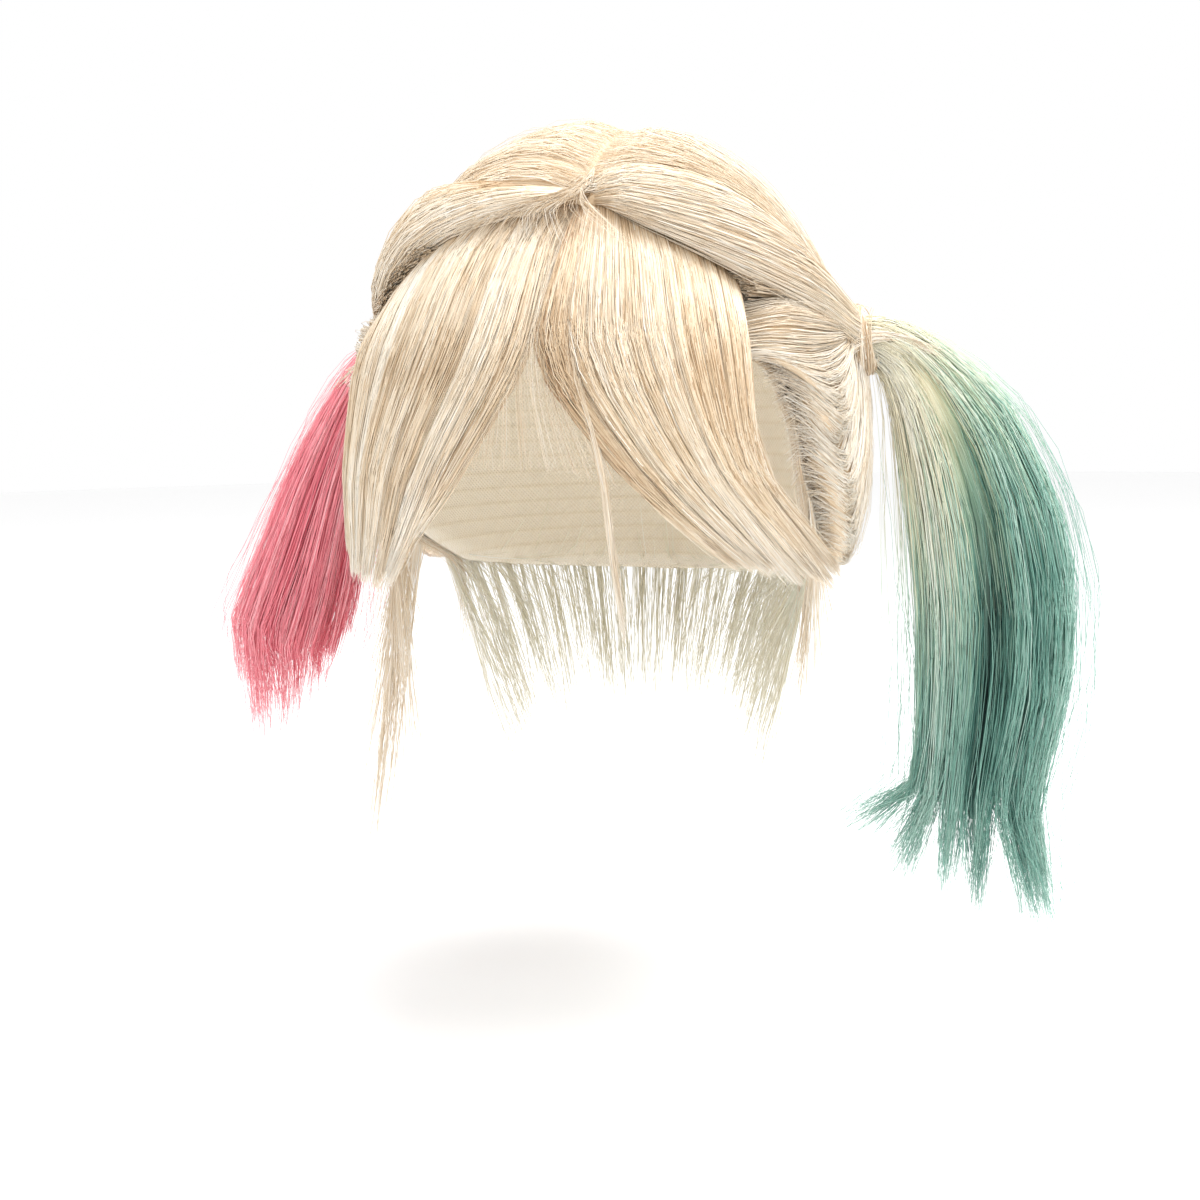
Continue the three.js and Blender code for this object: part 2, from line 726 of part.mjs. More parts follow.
function add(name, solid, side, colour, roughness = 0.55) {
  const material = new THREE.MeshStandardMaterial({ color: colour, roughness, metalness: 0 });
  const mesh = new THREE.Mesh(geometryOf(mirrored(solid, side)), material);
  mesh.name = name;
  wig.add(mesh);
}

// One side's pieces. What lies over another piece keeps its shape, and that one is cut back from it
function addSide(name, otherName, side) {
  const roll = rollSolid(name, clearance);
  const otherRoll = mirrored(rollSolid(otherName, clearance), -1);
  const fringe = fringeSolid(name, clearance);
  const otherFringe = mirrored(fringeSolid(otherName, clearance), -1);
  const neck = seatCylinder(neckRadius + clearance, -capThickness, tieHeight + tieWidth);
  const tieRadius = neckRadius + tieDepth + 2 * clearance;
  const seat = neck.add(seatCylinder(tieRadius, tieHeight - clearance, tieHeight + 3 * tieWidth));

  add(`front_roll_${name}`, rollSolid(name).subtract(seat), side, colours.blonde);
  const ownFringe = fringeSolid(name).subtract(roll).subtract(otherRoll).subtract(capRoom());
  add(`fringe_${name}`, ownFringe, side, colours.blonde);
  const points = outline(side);
  for (const section of sections) {
    const taken = [roll, otherRoll, fringe, otherFringe, seat];
    const hair = wasm.Manifold.difference([sectionSolid(section, points), ...taken]);
    add(`${section.name}_hair_${name}`, hair, side, colours.blonde);
  }
  add(`hair_tie_${name}`, tieSolid(), side, colours.blonde);
  add(`pigtail_${name}`, pigtailSolid(pigtails[name]), side, pigtails[name].colour);
  const nape = looseHair(napeRows, napeLockWidth, 4);
  add(`nape_hair_${name}`, nape, side, colours.paleBlonde);
  add(`ear_wisps_${name}`, looseHair(earWisps[name], wispWidth, 2), side, colours.blonde);
}

add("cap", capSolid(), 1, colours.cap, 0.9);
addSide("left", "right", 1);
addSide("right", "left", -1);

export default wig;
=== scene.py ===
# %% [markdown]
# # A costume wig, dressed strand by strand
# The wig is a thin cap with combed sections of synthetic hair, a curtain fringe and two dyed
# pigtails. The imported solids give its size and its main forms. This lesson dresses each of them
# with a finely combed body and with several hundred separate strands, because hair is judged by
# its strands, its loose ends and its shine.

# %% Load the frame
import math

import bmesh
import bpy
import numpy as np
from mathutils import Matrix, Vector


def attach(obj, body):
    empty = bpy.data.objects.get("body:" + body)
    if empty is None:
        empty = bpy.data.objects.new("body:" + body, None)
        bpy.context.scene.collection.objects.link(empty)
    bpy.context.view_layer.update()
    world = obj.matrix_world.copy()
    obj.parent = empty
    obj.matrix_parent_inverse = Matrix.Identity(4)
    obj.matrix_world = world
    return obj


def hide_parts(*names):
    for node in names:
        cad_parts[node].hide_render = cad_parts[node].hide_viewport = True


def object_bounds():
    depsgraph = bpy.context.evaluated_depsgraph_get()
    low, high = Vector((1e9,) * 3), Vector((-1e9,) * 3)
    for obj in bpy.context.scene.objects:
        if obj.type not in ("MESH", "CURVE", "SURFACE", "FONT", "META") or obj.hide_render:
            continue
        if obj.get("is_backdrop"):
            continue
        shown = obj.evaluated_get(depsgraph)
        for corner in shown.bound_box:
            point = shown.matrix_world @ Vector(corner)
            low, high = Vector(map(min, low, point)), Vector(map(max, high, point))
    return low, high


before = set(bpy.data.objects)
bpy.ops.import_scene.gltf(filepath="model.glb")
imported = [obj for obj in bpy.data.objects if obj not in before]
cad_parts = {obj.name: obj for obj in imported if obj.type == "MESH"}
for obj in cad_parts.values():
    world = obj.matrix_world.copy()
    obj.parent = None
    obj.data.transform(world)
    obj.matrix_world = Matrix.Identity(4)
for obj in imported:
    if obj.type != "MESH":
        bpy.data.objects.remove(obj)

cad_low, cad_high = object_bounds()
print("the solids span", [round(1000 * side) for side in cad_high - cad_low], "mm")

# %% [markdown]
# ## Camera
# The photograph was taken a little above the brow and from the wearer's left. The lens is given
# for a square picture, and the camera is turned by a matrix whose columns are its own right, up
# and back.

# %% Camera
YAW = math.radians(18)
PITCH = math.radians(8)
ROLL = math.radians(-1)
AIM = Vector((-0.0048, 0, -0.1549))
DISTANCE = 0.4986
SENSOR = 36.0
LENS = 40.5

backwards = Vector((math.sin(YAW) * math.cos(PITCH), -math.cos(YAW) * math.cos(PITCH), math.sin(PITCH)))
rightwards = Vector((math.cos(YAW), math.sin(YAW), 0))
upwards = backwards.cross(rightwards)
camera_right = rightwards * math.cos(ROLL) + upwards * math.sin(ROLL)
camera_up = upwards * math.cos(ROLL) - rightwards * math.sin(ROLL)

camera_data = bpy.data.cameras.new("camera")
camera_data.sensor_width = SENSOR
camera_data.lens = LENS
camera_data.clip_start = 0.01
camera = bpy.data.objects.new("camera", camera_data)
turn = Matrix((camera_right, camera_up, backwards)).transposed().to_4x4()
camera.matrix_world = Matrix.Translation(AIM + backwards * DISTANCE) @ turn
bpy.context.collection.objects.link(camera)
bpy.context.scene.camera = camera
print("the camera stands at", [round(place, 3) for place in camera.matrix_world.translation])

# %% [markdown]
# ## The sizes, and the head that the cap fits
# Points on the wig are found by direction: an azimuth from the face round to the wearer's left,
# and a polar angle from straight up. The functions take whole arrays of points, which is much
# faster than a loop over each strand. Everything is worked out in millimetres, on the wearer's
# left, and is mirrored and made metres when its mesh is made.

# %% Sizes
HEAD = np.array([76.0, 92.0, 97.0])  # half its width, half its depth, and the crown's height
CAP_THICKNESS = 1.5
CAP_MARGIN = 5.0  # degrees of bare cap past the hairline
CLEARANCE = 0.4
PARTING_SHIFT = 12.0
PARTING_FRONT = 43.0  # degrees forwards of straight up
PARTING_NAPE = 119.0  # degrees backwards of straight up
HAIR_DEPTH = 14.0
ROOT_DEPTH = 4.0  # of the hair at the hairline
PARTING_DEPTH = 8.5
SWELL = 0.24  # the share of its way over which combed hair reaches its depth
RIDGE = 1.1
CREASE = 0.3
TIE_HEIGHT = 13.0
TIE_WIDTH = 7.0
TIE_DEPTH = 3.2
NECK_RADIUS = 8.5
NECK_OPENING = NECK_RADIUS + CLEARANCE
PIGTAIL_AZIMUTH = 97.0
PIGTAIL_POLAR = 72.0
TIE_REACH = 0.96  # the share of the way to the pigtail's seat that combed hair goes
SIDE = {"left": 1, "right": -1}
MM = 0.001


# %% Directions and places on the head
def direction(azimuth, polar):
    """The unit vectors of directions that are given in degrees."""
    azimuth, polar = np.broadcast_arrays(np.radians(azimuth), np.radians(polar))
    across = np.sin(polar)
    return np.stack([across * np.sin(azimuth), -across * np.cos(azimuth), np.cos(polar)], -1)


def over_head(towards, lift):
    """The points in those directions, this high over the head."""
    lift = np.asarray(lift, float)[..., None]
    return towards * (HEAD + lift) - [0, 0, HEAD[2]]


def hanging(azimuth, drop, lift):
    """Hair that lies on the head, and hangs straight down past its widest level."""
    azimuth, drop, lift = np.broadcast_arrays(azimuth, drop, lift)
    polar = np.degrees(np.arccos(np.clip(1 - drop, 0, 1)))
    points = over_head(direction(azimuth, polar), lift)
    points[..., 2] -= HEAD[2] * np.maximum(0, drop - 1)
    return points


def unit(vectors):
    return vectors / np.maximum(np.linalg.norm(vectors, axis=-1, keepdims=True), 1e-9)


def outward(points):
    """The head's outward normals."""
    lifted = points + [0, 0, HEAD[2]]
    lifted[..., 2] = np.maximum(0, lifted[..., 2])
    return unit(lifted / HEAD**2)


def lerp(low, high, share):
    return low + (high - low) * share


def smooth(share, low, high):
    share = np.clip((share - low) / (high - low), 0, 1)
    return share * share * (3 - 2 * share)


def between(start, end, share):
    """The great-circle step from one direction to another."""
    share = np.asarray(share, float)[..., None]
    angle = np.arccos(np.clip((start * end).sum(-1, keepdims=True), -1, 1))
    angle = np.maximum(angle, 1e-6)
    return (np.sin((1 - share) * angle) * start + np.sin(share * angle) * end) / np.sin(angle)


print("a head", 2 * HEAD[0], "mm wide and", 2 * HEAD[1], "mm deep")

# %% [markdown]
# ## Lines on the head
# The hair grows from an outline: back along the parting, and then round the hairline to the
# temple. The fringe grows from a second line at the front.

# %% Lines
HAIRLINE = np.array(
    [(180, 119), (150, 118), (125, 116), (103, 113), (84, 104), (71, 91), (67, 80), (63, 74)]
)
FRINGE_LINE = np.array([(24, 47), (40, 53), (52, 58), (58, 64)])
PIGTAIL = direction(PIGTAIL_AZIMUTH, PIGTAIL_POLAR)


def parting(angle):
    """The parting, as directions at angles backwards of straight up. It fades to the middle."""
    shift = PARTING_SHIFT * (1 - smooth(angle, 20, 90)) / HEAD[0]
    rest = np.sqrt(1 - shift**2)
    angle = np.radians(angle)
    return np.stack([shift, rest * np.sin(angle), rest * np.cos(angle)], -1)


def outline(side):
    """One side's outline, as if it were the left."""
    steps = 24
    line = parting(lerp(-PARTING_FRONT, PARTING_NAPE, np.arange(steps) / steps))
    line[:, 0] *= side
    corner = FRINGE_LINE[-1]
    hairline = direction(HAIRLINE[:, 0], HAIRLINE[:, 1])
    last = direction([corner[0] - 6, corner[0]], [HAIRLINE[-1, 1] - 1, corner[1]])
    return np.concatenate([line, hairline, last])


def along_line(line, share):
    """The directions at shares of the way along a line, by angle."""
    steps = np.arccos(np.clip((line[1:] * line[:-1]).sum(-1), -1, 1))
    lengths = np.concatenate([[0], np.cumsum(steps)])
    target = np.clip(share, 0, 1) * lengths[-1]
    place = np.clip(np.searchsorted(lengths, target) - 1, 0, len(steps) - 1)
    return unit(between(line[place], line[place + 1], (target - lengths[place]) / steps[place]))


def fringe_roots(side):
    start = parting(-PARTING_FRONT)[None]
    start[:, 0] *= side
    return np.concatenate([start, direction(FRINGE_LINE[:, 0], FRINGE_LINE[:, 1])])


seat_point = over_head(PIGTAIL, 0)
seat_out = outward(seat_point)
seat_up = unit(np.cross(seat_out, [0, 1, 0]))  # across the neck, upwards
seat_up = seat_up * np.sign(seat_up[2])
seat_back = np.cross(seat_out, seat_up)
seat_back = seat_back * np.sign(seat_back[1])


def on_axis(height):
    return seat_point + np.asarray(height, float)[..., None] * seat_out


def spoke(angle):
    """The directions out from the neck's axis at angles round it."""
    return np.cos(angle)[..., None] * seat_up + np.sin(angle)[..., None] * seat_back


def round_neck(points):
    """Opens points that would run into the pigtail's neck smoothly out to its radius."""
    offset = points - seat_point
    height = (offset @ seat_out)[..., None] * seat_out
    radial = offset - height
    reach = np.linalg.norm(radial, axis=-1, keepdims=True)
    return seat_point + height + unit(radial) * (reach**4 + NECK_OPENING**4) ** 0.25


print("the pigtails leave the head at", np.round(seat_point), "mm")

# %% [markdown]
# ## Splines
# A strand is described by a few stations and drawn through more points. A Catmull-Rom spline is a
# weighted sum of its stations, so one small matrix of weights samples thousands of strands.


# %% Splines
def weights(stations, shares):
    """The weights of a Catmull-Rom spline's stations at shares of its way."""
    place = np.clip(np.asarray(shares), 0, 1) * (stations - 1)
    row = np.minimum(place.astype(int), stations - 2)
    t = place - row
    basis = [-t + 2 * t**2 - t**3, 2 - 5 * t**2 + 3 * t**3, t + 4 * t**2 - 3 * t**3, t**3 - t**2]
    basis = np.stack(basis, -1) / 2
    table = np.zeros((len(place), stations))
    for i in range(len(place)):
        for step, weight in zip(range(-1, 3), basis[i]):
            at = row[i] + step
            if at < 0:
                table[i, 0] += 2 * weight
                table[i, 1] -= weight
            elif at >= stations:
                table[i, -1] += 2 * weight
                table[i, -2] -= weight
            else:
                table[i, at] += weight
    return table


def through(stations, shares):
    """Samples curves whose stations lie on the second last axis."""
    return np.einsum("ks,...sd->...kd", weights(stations.shape[-2], shares), stations)


def sampled(stations, points, draw, ends=1.0):
    """Curves through stations as points at uneven places, so that their corners don't line up."""
    count, fine = len(stations), 4 * points
    whole = through(stations, np.linspace(0, 1, fine))
    place = np.linspace(0, 1, points)[None] + draw.uniform(-0.4, 0.4, (count, points)) / points
    place[:, 0], place[:, -1] = 0, 1
    place = place * ends * (fine - 1)
    low = np.minimum(place.astype(int), fine - 2)
    rows = np.arange(count)[:, None]
    return lerp(whole[rows, low], whole[rows, low + 1], (place - low)[..., None])


def uneven_locks(draw, place, locks):
    """Sorts places from 0 to 1 into uneven locks: each one's lock, its middle and half width."""
    edges = np.concatenate([[0], np.cumsum(draw.uniform(0.5, 1.5, locks))])
    edges = edges / edges[-1]
    lock = np.clip(np.searchsorted(edges, place) - 1, 0, locks - 1)
    return lock, (edges[lock] + edges[lock + 1]) / 2, (edges[lock + 1] - edges[lock]) / 2


print("a spline through 4 stations:", np.round(weights(4, [0.5]), 3).tolist())

# %% [markdown]
# ## Node trees from Python expressions
# A socket that is wrapped in this class can be added, multiplied and so on, and each sign adds a
# Math node. Every other node comes from one method, which sets the node's own settings first and
# then its sockets.


# %% Graph and Value
class Value:
    """A number's socket, which adds Math nodes when it stands in an expression."""

    def __init__(self, graph, socket):
        self.graph = graph
        self.socket = socket

    def __add__(self, other):
        return self.graph.maths("ADD", self, other)

    def __sub__(self, other):
        return self.graph.maths("SUBTRACT", self, other)

    def __mul__(self, other):
        return self.graph.maths("MULTIPLY", self, other)

    def __pow__(self, other):
        return self.graph.maths("POWER", self, other)

    __radd__ = __add__
    __rmul__ = __mul__


class Graph:
    """A node tree with one way to add a node."""

    def __init__(self, tree):
        self.tree = tree
        tree.nodes.clear()

    def add(self, kind, settings=None, inputs=None):
        node = self.tree.nodes.new(kind)
        for name, setting in (settings or {}).items():
            if name == "stops":
                self.fill_ramp(node.color_ramp.elements, setting)
            else:
                setattr(node, name, setting)
        for key, value in (inputs or {}).items():
            if isinstance(value, Value):
                value = value.socket
            if isinstance(value, bpy.types.NodeSocket):
                self.tree.links.new(value, node.inputs[key])
            else:
                node.inputs[key].default_value = value
        return node

    def fill_ramp(self, elements, stops):
        while len(elements) < len(stops):
            elements.new(0.5)
        for element, (position, colour) in zip(elements, stops):
            element.position = position
            element.color = colour

    def value(self, kind, settings=None, inputs=None, output=0):
        return Value(self, self.add(kind, settings, inputs).outputs[output])

    def maths(self, operation, *numbers):
        return self.value("ShaderNodeMath", {"operation": operation}, dict(enumerate(numbers)))

    def ramp(self, stops, place):
        return self.add("ShaderNodeValToRGB", {"stops": stops}, {0: place}).outputs[0]

    def surface(self, inputs):
        shader = self.add("ShaderNodeBsdfPrincipled", None, inputs)
        self.add("ShaderNodeOutputMaterial", None, {0: shader.outputs[0]})

    def mix(self, factor, low, high):
        """Mixes two colours and gives the mixed colour's socket."""
        settings = {"data_type": "RGBA"}
        return self.add("ShaderNodeMix", settings, {0: factor, 6: low, 7: high}).outputs[2]


def painted(name):
    """A new material with its graph."""
    material = bpy.data.materials.new(name)
    material.use_nodes = True
    return material, Graph(material.node_tree)


# %% [markdown]
# ## The strand tree
# A strand of synthetic hair is a fine thread that tapers at its tip. One Geometry Nodes tree
# turns every line of points into such a thread: it wavers each line a little by a noise of its
# own, makes it a curve, and sweeps a three-sided ring along it. Three sides are enough, because a
# thread is one pixel wide and its shading is smooth.


# %% Strand tree
def strand_tree():
    tree = bpy.data.node_groups.new("strands", "GeometryNodeTree")
    tree.interface.new_socket("Lines", in_out="INPUT", socket_type="NodeSocketGeometry")
    for name, kind in [
        ("Sides", "NodeSocketInt"),
        ("Waver", "NodeSocketFloat"),
        ("Waves", "NodeSocketFloat"),
        ("Seed", "NodeSocketFloat"),
        ("Hair", "NodeSocketMaterial"),
    ]:
        tree.interface.new_socket(name, in_out="INPUT", socket_type=kind)
    tree.interface.new_socket("Strands", in_out="OUTPUT", socket_type="NodeSocketGeometry")
    graph = Graph(tree)
    given = graph.add("NodeGroupInput").outputs

    def stored(name):
        settings = {"data_type": "FLOAT"}
        return graph.value("GeometryNodeInputNamedAttribute", settings, {"Name": name})

    along = stored("along")
    number = stored("strand")
    place = graph.add("GeometryNodeInputPosition").outputs[0]
    noise = graph.add(
        "ShaderNodeTexNoise",
        {"noise_dimensions": "4D"},
        {
            "Vector": place,
            "W": number + Value(graph, given["Seed"]),
            "Scale": given["Waves"],
            "Detail": 1.0,
        },
    ).outputs["Color"]
    half = (0.5, 0.5, 0.5)
    middle = graph.add("ShaderNodeVectorMath", {"operation": "SUBTRACT"}, {0: noise, 1: half}).outputs[0]
    sway = Value(graph, given["Waver"]) * along
    shift = graph.add("ShaderNodeVectorMath", {"operation": "SCALE"}, {0: middle, "Scale": sway}).outputs[0]
    moved = graph.add("GeometryNodeSetPosition", None, {"Geometry": given["Lines"], "Offset": shift})
    curves = graph.add("GeometryNodeMeshToCurve", None, {"Mesh": moved.outputs[0]}).outputs[0]
    sizes = {"Resolution": given["Sides"], "Radius": 0.5}
    ring = graph.add("GeometryNodeCurvePrimitiveCircle", None, sizes)
    threads = graph.add(
        "GeometryNodeCurveToMesh",
        None,
        {"Curve": curves, "Profile Curve": ring.outputs[0], "Scale": stored("thick"), "Fill Caps": True},
    )
    shaded = graph.add("GeometryNodeSetShadeSmooth", None, {"Geometry": threads.outputs[0]})
    whole = graph.add("GeometryNodeRealizeInstances", None, {"Geometry": shaded.outputs[0]})
    dressed = graph.add(
        "GeometryNodeSetMaterial", None, {"Geometry": whole.outputs[0], "Material": given["Hair"]}
    )
    graph.add("NodeGroupOutput", None, {0: dressed.outputs[0]})
    return tree


STRANDS = strand_tree()
ITEMS = STRANDS.interface.items_tree
INPUTS = {item.name: item.identifier for item in ITEMS if item.in_out == "INPUT"}
SIDES = 3
NOISE_STEP = 0.37  # between the noises of two strands
BLONDE_HAIR = "blonde_hair"
made = {}
looks = {}


# %% From arrays to pieces
def link(name, mesh, node):
    """Makes a mesh a piece of the wig that stands for a node of the solids."""
    piece = bpy.data.objects.new(name, mesh)
    bpy.context.collection.objects.link(piece)
    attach(piece, "root")
    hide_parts(node)
    mesh.calc_loop_triangles()
    made[name] = len(mesh.loop_triangles)
    return piece


def tell_made():
    print(len(made), "pieces,", sum(made.values()), "triangles")


def store(mesh, columns, shape):
    """Stores a number of each name on each point of a mesh."""
    for column, values in columns.items():
        values = np.broadcast_to(values, shape).astype(np.float32)
        mesh.attributes.new(column, "FLOAT", "POINT").data.foreach_set("value", values.ravel())


def strands(name, node, side, paths, thick, tone, dye=0.0, slot=BLONDE_HAIR, waver=1.0, waves=60.0):
    """Dresses lines of points (strand, point, xyz) as threads. thick is in millimetres."""
    count, points = paths.shape[:2]
    mesh = bpy.data.meshes.new(name)
    mesh.vertices.add(count * points)
    mesh.vertices.foreach_set("co", (paths * [side, 1, 1] * MM).astype(np.float32).ravel())
    first = np.arange(count * points).reshape(count, points)[:, :-1]
    mesh.edges.add(first.size)
    mesh.edges.foreach_set("vertices", np.stack([first, first + 1], -1).astype(np.int32).ravel())
    along = np.linspace(0, 1, points)[None]
    number = np.arange(count)[:, None] * NOISE_STEP
    columns = {"thick": thick * MM, "tone": tone, "dye": dye, "along": along, "strand": number}
    store(mesh, columns, (count, points))
    lines = bpy.data.objects.new(name + "_lines", mesh)
    bpy.context.collection.objects.link(lines)
    modifier = lines.modifiers.new("strands", "NODES")
    modifier.node_group = STRANDS
    settings = {"Sides": SIDES, "Waver": waver * MM, "Waves": waves, "Seed": float(len(made))}
    settings["Hair"] = looks[slot, False]
    for key, value in settings.items():
        modifier[INPUTS[key]] = value
    graph = bpy.context.evaluated_depsgraph_get()
    threads = bpy.data.meshes.new_from_object(lines.evaluated_get(graph))
    bpy.data.objects.remove(lines)
    threads.name = name
    return link(name, threads, node)


def body(name, node, side, points, faces, comb, tone, dye=0.0, slot=BLONDE_HAIR):
    """A closed body of combed hair. comb holds a place across and along for each point."""
    mesh = bpy.data.meshes.new(name)
    mesh.from_pydata((points * [side, 1, 1] * MM).tolist(), [], faces)
    shell = bmesh.new()
    shell.from_mesh(mesh)
    bmesh.ops.recalc_face_normals(shell, faces=shell.faces)
    shell.to_mesh(mesh)
    shell.free()
    layer = mesh.uv_layers.new(name="comb")
    corners = np.zeros(len(mesh.loops), np.int32)
    mesh.loops.foreach_get("vertex_index", corners)
    layer.data.foreach_set("uv", comb[corners].astype(np.float32).ravel())
    store(mesh, {"tone": tone, "dye": dye}, (len(points),))
    mesh.polygons.foreach_set("use_smooth", [True] * len(mesh.polygons))
    mesh.materials.append(looks[slot, True])
    mesh.update()
    mesh.validate()
    return link(name, mesh, node)


def quads(grid, round_rows=False, round_columns=False, flip=False):
    """The faces between a grid's points, which may close on itself in either direction."""
    grid = np.pad(grid, ((0, round_rows), (0, round_columns)), mode="wrap")
    corners = [grid[:-1, :-1], grid[:-1, 1:], grid[1:, 1:], grid[1:, :-1]]
    if flip:
        corners = corners[::-1]
    return np.stack([corner.ravel() for corner in corners], -1).tolist()


def tones(draw, count, middle, spread, shift=0.0):
    """A tone for each strand, from 0 for the darkest to 1."""
    return np.clip(draw.normal(middle, spread, (count, 1)) + shift, 0, 1)


COMBED_THICK = (0.2, 0.42)  # the finest and the thickest of combed strands

# %% [markdown]
# ## Hair materials
# Each strand has a tone of its own, so a head of hair is never one flat colour, and the dye of
# the pigtails takes hold some way down each strand. Both are stored on the strands as numbers,
# and two ramps turn them into colours. A fine noise along the hair varies its colour and its
# shine. The combed bodies under the strands have the same colours, with streaks and a bump that
# follow their comb lines.


# %% Hair material
def colour(code):
    """A web colour as linear light."""
    channels = [int(code[i : i + 2], 16) / 255 for i in (0, 2, 4)]
    light = [c / 12.92 if c <= 0.04045 else ((c + 0.055) / 1.055) ** 2.4 for c in channels]
    return (*light, 1.0)


ROUGHNESS = 0.34
MOTTLE = {"scale": 60.0, "roughness": 0.25, "tone": 0.3}
STREAK_STRETCH = (1.0, 0.03, 1.0)  # across and along the comb lines
BROAD_STREAKS = 0.6
FINE_STREAKS = 3.0
STREAK_TONE = 0.8
STREAK_BUMP = {"Strength": 0.8, "Distance": 0.0008}


def hair_material(name, tones, dyes, combed):
    material, graph = painted(name)
    tone = graph.value("ShaderNodeAttribute", {"attribute_name": "tone"}, output=2)
    dye = graph.value("ShaderNodeAttribute", {"attribute_name": "dye"}, output=2)
    place = graph.add("ShaderNodeTexCoord").outputs["Object"]

    def noise(where, scale):
        return graph.value("ShaderNodeTexNoise", None, {"Vector": where, "Scale": scale, "Detail": 2.0})

    mottle = noise(place, MOTTLE["scale"])
    inputs = {"Roughness": ROUGHNESS + MOTTLE["roughness"] * mottle, "Specular IOR Level": 0.5}
    if combed:
        comb = graph.add("ShaderNodeUVMap", {"uv_map": "comb"}).outputs[0]
        streak = {"Vector": comb, "Scale": STREAK_STRETCH}
        streak = graph.add("ShaderNodeMapping", None, streak).outputs[0]
        broad, fine = noise(streak, BROAD_STREAKS), noise(streak, FINE_STREAKS)
        tone = tone + STREAK_TONE * (broad - 0.5) + STREAK_TONE * (fine - 0.5)
        height = 0.5 * broad + 0.5 * fine
        inputs["Normal"] = graph.add("ShaderNodeBump", None, {**STREAK_BUMP, "Height": height}).outputs[0]
    else:
        tone = tone + MOTTLE["tone"] * (mottle - 0.5)
    natural = graph.ramp(tones, tone)
    if len(dyes) > 1:
        doubled = 2.0 * dye
        natural = graph.mix(graph.maths("MINIMUM", doubled, 1.0), natural, graph.ramp(dyes[0], tone))
        dye = graph.maths("MAXIMUM", doubled - 1.0, 0.0)
    inputs["Base Color"] = graph.mix(dye, natural, graph.ramp(dyes[-1], tone))
    graph.surface(inputs)
    return material


BLONDE = [(0.0, colour("AE8A66")), (0.3, colour("D9BF9C")), (0.6, colour("F0E0C8")), (1.0, colour("FDF8EE"))]
PALE = [(0.0, colour("C6B994")), (0.35, colour("E6DEC2")), (1.0, colour("FCFAF0"))]
CREAM = [(0.0, colour("D2C49A")), (0.3, colour("F0E6C6")), (0.65, colour("FDF7E0")), (1.0, colour("FFFDF0"))]
MINT = [(0.0, colour("7FA389")), (0.4, colour("BEDABF")), (1.0, colour("EEF8EA"))]
TEAL = [(0.0, colour("1E423C")), (0.3, colour("4A8276")), (0.6, colour("8ABEAE")), (1.0, colour("CEEADE"))]
ROSE = [(0.0, colour("C47470")), (0.5, colour("F4B0A8")), (1.0, colour("FFD8CE"))]
PINK = [(0.0, colour("C64C5C")), (0.35, colour("F07E8C")), (0.7, colour("FF9EA8")), (1.0, colour("FFC6CA"))]

for kind, ramp, dyes in [
    ("blonde", BLONDE, [MINT]),
    ("nape", PALE, [MINT]),
    ("teal", CREAM, [MINT, TEAL]),
    ("pink", BLONDE, [ROSE, PINK]),
]:
    looks[f"{kind}_hair", False] = hair_material(f"{kind}_strands", ramp, dyes, False)
    looks[f"{kind}_hair", True] = hair_material(f"{kind}_body", ramp, dyes, True)
print(len(looks), "hair materials")

# %% [markdown]
# ## Combed sections
# On each side four sections of hair run from the outline to the pigtail: the crown's, the back's,
# the one behind the ear and the temple's. Each is a closed shell that follows the comb lines. Its
# strands start on the outline, take a few stations over the head and close round the pigtail's
# neck, where the tie gathers them.

# %% Section shapes
SECTION_COLUMNS = ("from", "to", "depth", "ridges", "strands", "tone", "waver")
SECTION_ROWS = {
    "crown_hair": (0.0, 0.36, 0.79, 5, 985, 0.66, 1.2),
    "back_hair": (0.36, 0.66, 0.86, 5, 560, 0.66, 1.2),
    "ear_hair": (0.66, 0.9, 1.0, 4, 800, 0.75, 2.4),
    "temple_hair": (0.9, 1.0, 0.86, 3, 480, 0.73, 2.6),
}
SECTIONS = {name: dict(zip(SECTION_COLUMNS, row)) for name, row in SECTION_ROWS.items()}
EDGE = 6.0  # degrees past the hairline where hair starts, over the cap's bare edge
EDGE_LIFT = 1.2  # of the hair over the cap, where it starts past the hairline
HAIRLINE_SHARES = (0.36, 0.44)  # of the outline, over which the parting gives way to the hairline
ROOT_SHARES = (0.4, 0.55)  # of the outline, over which the roots get shallower
SAG = 0.2  # of the hair round the ear, as a step downwards for a unit direction
SAG_IN = (0.64, 0.78)  # shares of the outline over which the sag sets in
SAG_OUT = (-1.0, -0.92)  # and, counted backwards, over which it dies out
FINE_RIDGE = 0.35
FINE_RIDGES = 3.1  # fine ridges to each broad one
SINK = 1.5  # how far the bodies lie under the solids' faces, as room for the strands
ROOT_SINK = 1.4  # how much farther they lie under them at the roots
WIDEST = 300.0  # of a side's whole outline, in millimetres, for the comb lines
LONGEST = 130.0


def edge_share(root):
    """The share of the way to the pigtail between the hairline and the cap's bare edge."""
    way = np.degrees(np.arccos(np.clip(root @ PIGTAIL, -1, 1)))
    return EDGE / (TIE_REACH * way)


def section_lift(section, across, share, edge):
    """How high a section's hair stands over the head."""
    swell = np.sin(np.pi / 2 * np.clip(share / SWELL, 0, 1))
    crease = 1 - CREASE * np.abs(2 * across - 1) ** 5
    ridge = RIDGE * swell * (0.5 - 0.5 * np.cos(2 * np.pi * section["ridges"] * across))
    fine = FINE_RIDGE * swell * np.sin(2 * np.pi * FINE_RIDGES * section["ridges"] * across + 4 * share)
    root_share = smooth(lerp(section["from"], section["to"], across), *ROOT_SHARES)
    depth = lerp(lerp(PARTING_DEPTH, ROOT_DEPTH, root_share), HAIR_DEPTH * section["depth"] * crease, swell)
    return CAP_THICKNESS + lerp(EDGE_LIFT, depth + ridge + fine, smooth(share, -edge, 0.4 * edge))


